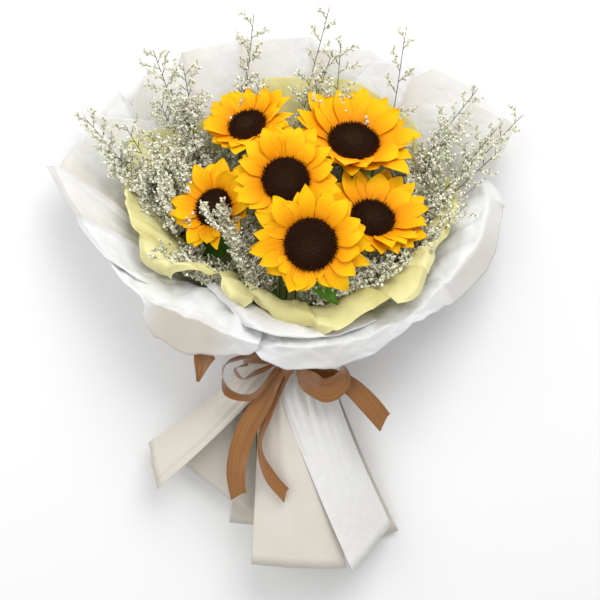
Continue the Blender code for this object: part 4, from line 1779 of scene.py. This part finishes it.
LEAVES = [
    Leaf(1, 6, 2, (-104, 44, 64), 10),
    Leaf(2, 3, 1, (-36, 124, 93), 9),
    Leaf(3, 4, 2, (52, -16, 134), 9),
]


# ---- ribbon ------------------------------------------------------------------------


@dataclass(frozen=True)
class RibbonStrip:
    """A strip of satin ribbon from the knot.

    Attributes:
        node: The frame node that it stands for.
        route: Its (point, direction across, width), with heights from the neck's front.
        notch: How far its free end is cut on the slant, or 0 for a loop.
    """

    node: str
    route: Sequence[tuple[tuple, tuple, float]]
    notch: float

    THICKNESS = 0.35
    COLUMNS = 8
    STEPS = 12
    CUT_ROWS = 3
    CUPPING = 0.7
    SLACK = 0.5

    def build(self, wrapper: Wrapper, finish: bpy.types.Material) -> None:
        """Builds the strip, cupped a little across and cut on the slant at a free end.

        Args:
            wrapper: The trumpet whose neck it is tied to.
            finish: The satin.
        """
        piece = blade_piece(f"{self.node}_satin", "brown_satin", [self.node])
        front = Vector((0, 0, wrapper.neck_z + wrapper.neck_half_height))
        stops = [front + Vector(point) for point, _, _ in self.route]
        line = smooth_route(stops, self.STEPS)
        across = [Vector(across).normalized() * width / 2 for _, across, width in self.route]
        turns = smooth_route(across, self.STEPS, stops)
        last = len(line) - 1
        made = bmesh.ops.create_grid(
            piece.shape, x_segments=last, y_segments=self.COLUMNS, size=0.5, calc_uvs=True
        )
        for corner in made["verts"]:
            k, side = round((corner.co.x + 0.5) * last), corner.co.y * 2
            heading = (line[min(last, k + 1)] - line[max(0, k - 1)]).normalized()
            width = turns[k].length
            square = (turns[k] - heading * turns[k].dot(heading)).normalized() * width
            out = heading.cross(square).normalized()
            gather = 1 - ease(9.0, 17.0, width * 2)
            lift = self.CUPPING * (side * side - 0.4)
            lift += gather * 0.9 * math.cos(side * 2.5 * math.pi)
            lift += self.SLACK * noise.noise(Vector((k * 0.13, side, len(self.node) * 1.7)))
            corner.co = line[k] + square * side + out * lift
            past = k - last + self.CUT_ROWS
            if self.notch and past >= 0:
                back = self.notch * (0.5 + 0.5 * side) * past / self.CUT_ROWS
                corner.co -= heading.normalized() * back
        piece.tones += [0.5] * len(made["verts"])
        strip = piece.finish([finish], thickness=self.THICKNESS, levels=1)


RIBBON_STRIPS = [
    RibbonStrip("ribbon_loop_left", [
        ((-10, -73, 11), (0, 2, 9), 7), ((-40, -70, 21), (1, 3, 8), 18),
        ((-64, -80, 24), (2, 2, 8), 20), ((-62, -106, 18), (-2, -2, 8), 20),
        ((-40, -113, 14), (0, -3, 8), 18), ((-10, -82, 11), (3, -5, 8), 7),
    ], 0),
    RibbonStrip("ribbon_loop_inner", [
        ((-10, -77, 11), (1, -3, 9), 7), ((-30, -87, 16), (1, -3, 9), 14),
        ((-48, -93, 19), (2, 1, 9), 17), ((-53, -84, 20), (3, 1, 9), 17),
        ((-40, -77, 20), (0, 3, 9), 16),
    ], 0),
    RibbonStrip("ribbon_loop_right", [
        ((11, -81, 11), (4, 4, 6), 7), ((25, -97, 16), (8, 6, 2), 24),
        ((41, -105, 20), (-1, 9, 3), 28), ((56, -96, 22), (-7, 5, 4), 25),
        ((58, -81, 22), (-3, 2, 8), 20), ((36, -74, 20), (0, 3, 8), 17),
        ((10, -73, 11), (0, 2, 9), 7),
    ], 0),
    RibbonStrip("ribbon_tail_long", [
        ((-5, -85, 10), (9, -4, 1), 7), ((-24, -116, 10), (9, -5, 0), 20),
        ((-45, -155, 9), (9, -3, -1), 22), ((-53, -193, 4), (9, 0, 2), 21),
        ((-50, -222, -2), (9, 1, 3), 18),
    ], 10),
    RibbonStrip("ribbon_tail_middle", [
        ((3, -85, 8), (9, 0, 2), 6), ((-18, -130, 5), (7, 0, 6), 12),
        ((-28, -165, 4), (4, 1, 8), 12), ((-17, -196, 4), (8, 5, 3), 14),
        ((3, -220, 3), (7, 6, 0), 14),
    ], 12),
    RibbonStrip("ribbon_tail_right", [
        ((14, -82, 9), (4, 8, 2), 8), ((40, -90, 7), (4, 8, 2), 18),
        ((66, -101, 7), (4, 8, 2), 20), ((86, -120, 5), (5, 8, 1), 22),
        ((106, -144, -5), (6, 7, 0), 20),
    ], 10),
    RibbonStrip("ribbon_tail_left", [
        ((-10, -69, 11), (0, 2, 9), 7), ((-50, -58, 15), (1, 5, 7), 18),
        ((-80, -62, 14), (7, 3, 2), 26), ((-93, -97, 8), (7, 0, 0), 3),
    ], 0),
]


@dataclass(frozen=True)
class RibbonTie:
    """The band round the neck and the knot on its front.

    Attributes:
        knot_sag: How far the knot hangs down towards the skirt.
    """

    knot_sag: float = 5

    BAND_COLUMNS = 96
    BAND_ROWS = 8

    def build_band(self, wrapper: Wrapper, finish: bpy.types.Material) -> None:
        """Builds the band: satin drawn tight into a few long creases.

        Args:
            wrapper: The trumpet whose neck it goes round.
            finish: The satin.
        """
        piece = blade_piece("ribbon_band_satin", "brown_satin", ["ribbon_band"])
        low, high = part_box("ribbon_band")
        middle, half = (low[1] + high[1]) / 2 / MM, (high[1] - low[1]) / 2 / MM
        made = bmesh.ops.create_grid(
            piece.shape, x_segments=self.BAND_COLUMNS, y_segments=self.BAND_ROWS, size=0.5,
            calc_uvs=True,
        )
        for corner in made["verts"]:
            turn, side = corner.co.x * 2 * math.pi, corner.co.y * 2
            crease = 0.35 * math.cos(side * 5 + 0.6 * math.sin(turn * 2))
            corner.co = wrapper.neck(turn, -1.0 - crease, middle + side * half)
        piece.tones += [0.5] * len(made["verts"])
        bmesh.ops.remove_doubles(piece.shape, verts=piece.shape.verts, dist=1e-3)
        del piece.tones[len(piece.shape.verts):]
        piece.finish([finish], thickness=0.35)

    def build_knot(self, finish: bpy.types.Material) -> None:
        """Builds the knot: a soft lump of folded satin with long creases round it.

        Args:
            finish: The satin.
        """
        piece = blade_piece("ribbon_knot_satin", "brown_satin", ["ribbon_knot"])
        low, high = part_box("ribbon_knot")
        middle = Vector([(a + b) / 2 / MM for a, b in zip(low, high)])
        half = Vector([(b - a) / 2 / MM for a, b in zip(low, high)])
        middle.y -= self.knot_sag
        half.y += self.knot_sag * 0.8
        made = bmesh.ops.create_uvsphere(
            piece.shape, u_segments=40, v_segments=24, radius=1, calc_uvs=True
        )
        for corner in made["verts"]:
            co = corner.co.copy()
            crease = 1 + 0.07 * math.cos(9 * co.x + 2.2 * math.sin(3 * co.y))
            crease -= 0.12 * math.exp(-((abs(co.y) - 0.55) ** 2) / 0.02)
            corner.co = middle + Vector((co.x * half.x, co.y * half.y, co.z * half.z)) * min(
                1.05, crease
            )
        piece.tones += [0.5] * len(made["verts"])
        piece.finish([finish], levels=1)


# ---- studio ------------------------------------------------------------------------


@dataclass(frozen=True)
class Studio:
    """The tabletop, the soft lights and the camera that looks straight down.

    Attributes:
        camera_height: The camera's height over the table, in metres.
        view_width: The width of table that it sees, in metres.
        aim: The point of the table under it.
    """

    camera_height: float = 1.7
    view_width: float = 0.66
    aim: tuple[float, float] = (0.014, -0.0115)

    SENSOR_MM = 36
    TABLE_DROP = 0.0003

    def build(self) -> None:
        """Builds the floor, the lights, the sky and the camera."""
        self.build_floor()
        self.build_light("key_softbox", (0.5, 1.25, 1.5), 1.3, 24)
        self.build_light("fill_softbox", (-1.2, 0.2, 1.4), 1.4, 9)
        world = bpy.data.worlds.new("studio_sky")
        bpy.context.scene.world = world
        world.use_nodes = True
        sky = world.node_tree.nodes["Background"]
        sky.inputs["Color"].default_value = linear("FDFDFD")
        sky.inputs["Strength"].default_value = 0.62
        data = bpy.data.cameras.new("camera")
        data.sensor_width = self.SENSOR_MM
        data.lens = self.SENSOR_MM * self.camera_height / self.view_width
        camera = put_in_scene("camera", data)
        camera.location = (*self.aim, self.camera_height)
        bpy.context.scene.camera = camera
        bpy.context.scene.view_settings.view_transform = "Standard"

    def build_floor(self) -> None:
        """Builds a plain pale tabletop."""
        shape = bmesh.new()
        bmesh.ops.create_grid(shape, x_segments=1, y_segments=1, size=4)
        bmesh.ops.translate(shape, verts=shape.verts, vec=(0, 0, -self.TABLE_DROP))
        mesh = to_mesh(shape, "tabletop")
        paint, _, _ = start_material(
            "matt_white_tabletop", {"Base Color": linear("F4F4F4"), "Roughness": 0.9}
        )
        mesh.materials.append(paint)
        put_in_scene("tabletop", mesh)

    def build_light(
        self, name: str, place: tuple[float, float, float], size: float, power: float
    ) -> None:
        """Builds a square softbox that points at the bunch and isn't seen itself.

        Args:
            name: The light's name.
            place: Where it stands, in metres.
            size: Its side, in metres.
            power: Its power, in watts.
        """
        data = bpy.data.lights.new(name, "AREA")
        data.size = size
        data.energy = power
        lamp = put_in_scene(name, data)
        lamp.location = place
        towards = Vector((0, 0, 0.05)) - Vector(place)
        lamp.rotation_euler = towards.to_track_quat("-Z", "Y").to_euler()
        lamp.visible_camera = False


SUNFLOWERS = [
    (1, 15, 18, 1.06, 0.5, (-0.22, -0.42)),
    (2, 16, 18, 1.13, 0.6, (0.24, -0.38)),
    (3, 17, 14, 1.05, 0.4, (-0.22, 0.20)),
    (4, 17, 8, 1.0, 0.75, (0.12, 0.60)),
    (5, 16, 14, 1.1, 0.5, (0.46, 0.26)),
    (6, 14, 16, 1.04, 0.3, (-0.54, -0.10)),
]


def main() -> None:
    """Builds the whole bunch, from the table up to the bow."""
    logging.basicConfig(level=logging.INFO, format="%(message)s")
    Studio().build()
    finishes, wrapper = Finishes(), Wrapper()
    for sheet in WHITE_SHEETS:
        sheet.build(wrapper, finishes.white_paper, "white_paper")
    for sheet in LINER_SHEETS:
        sheet.build(wrapper, finishes.liner_paper, "pale_green_paper")
    flowers = {number: Sunflower(number, *rest) for number, *rest in SUNFLOWERS}
    for flower in flowers.values():
        flower.build(finishes, wrapper)
    for leaf in LEAVES:
        route = flowers[leaf.flower].stem_route(wrapper)
        root = route[1 + round((leaf.steps_down - 1) * Leaf.ROUTE_POINTS_PER_STEP)]
        leaf.build(root, finishes.leaf)
    for spray in SEA_LAVENDER:
        spray.build(wrapper, finishes)
    tie = RibbonTie()
    tie.build_band(wrapper, finishes.satin)
    tie.build_knot(finishes.satin)
    for strip in RIBBON_STRIPS:
        strip.build(wrapper, finishes.satin)
    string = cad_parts["stem_string"]
    string.data.materials.clear()
    string.data.materials.append(finishes.twine)


if __name__ == "__main__":
    main()
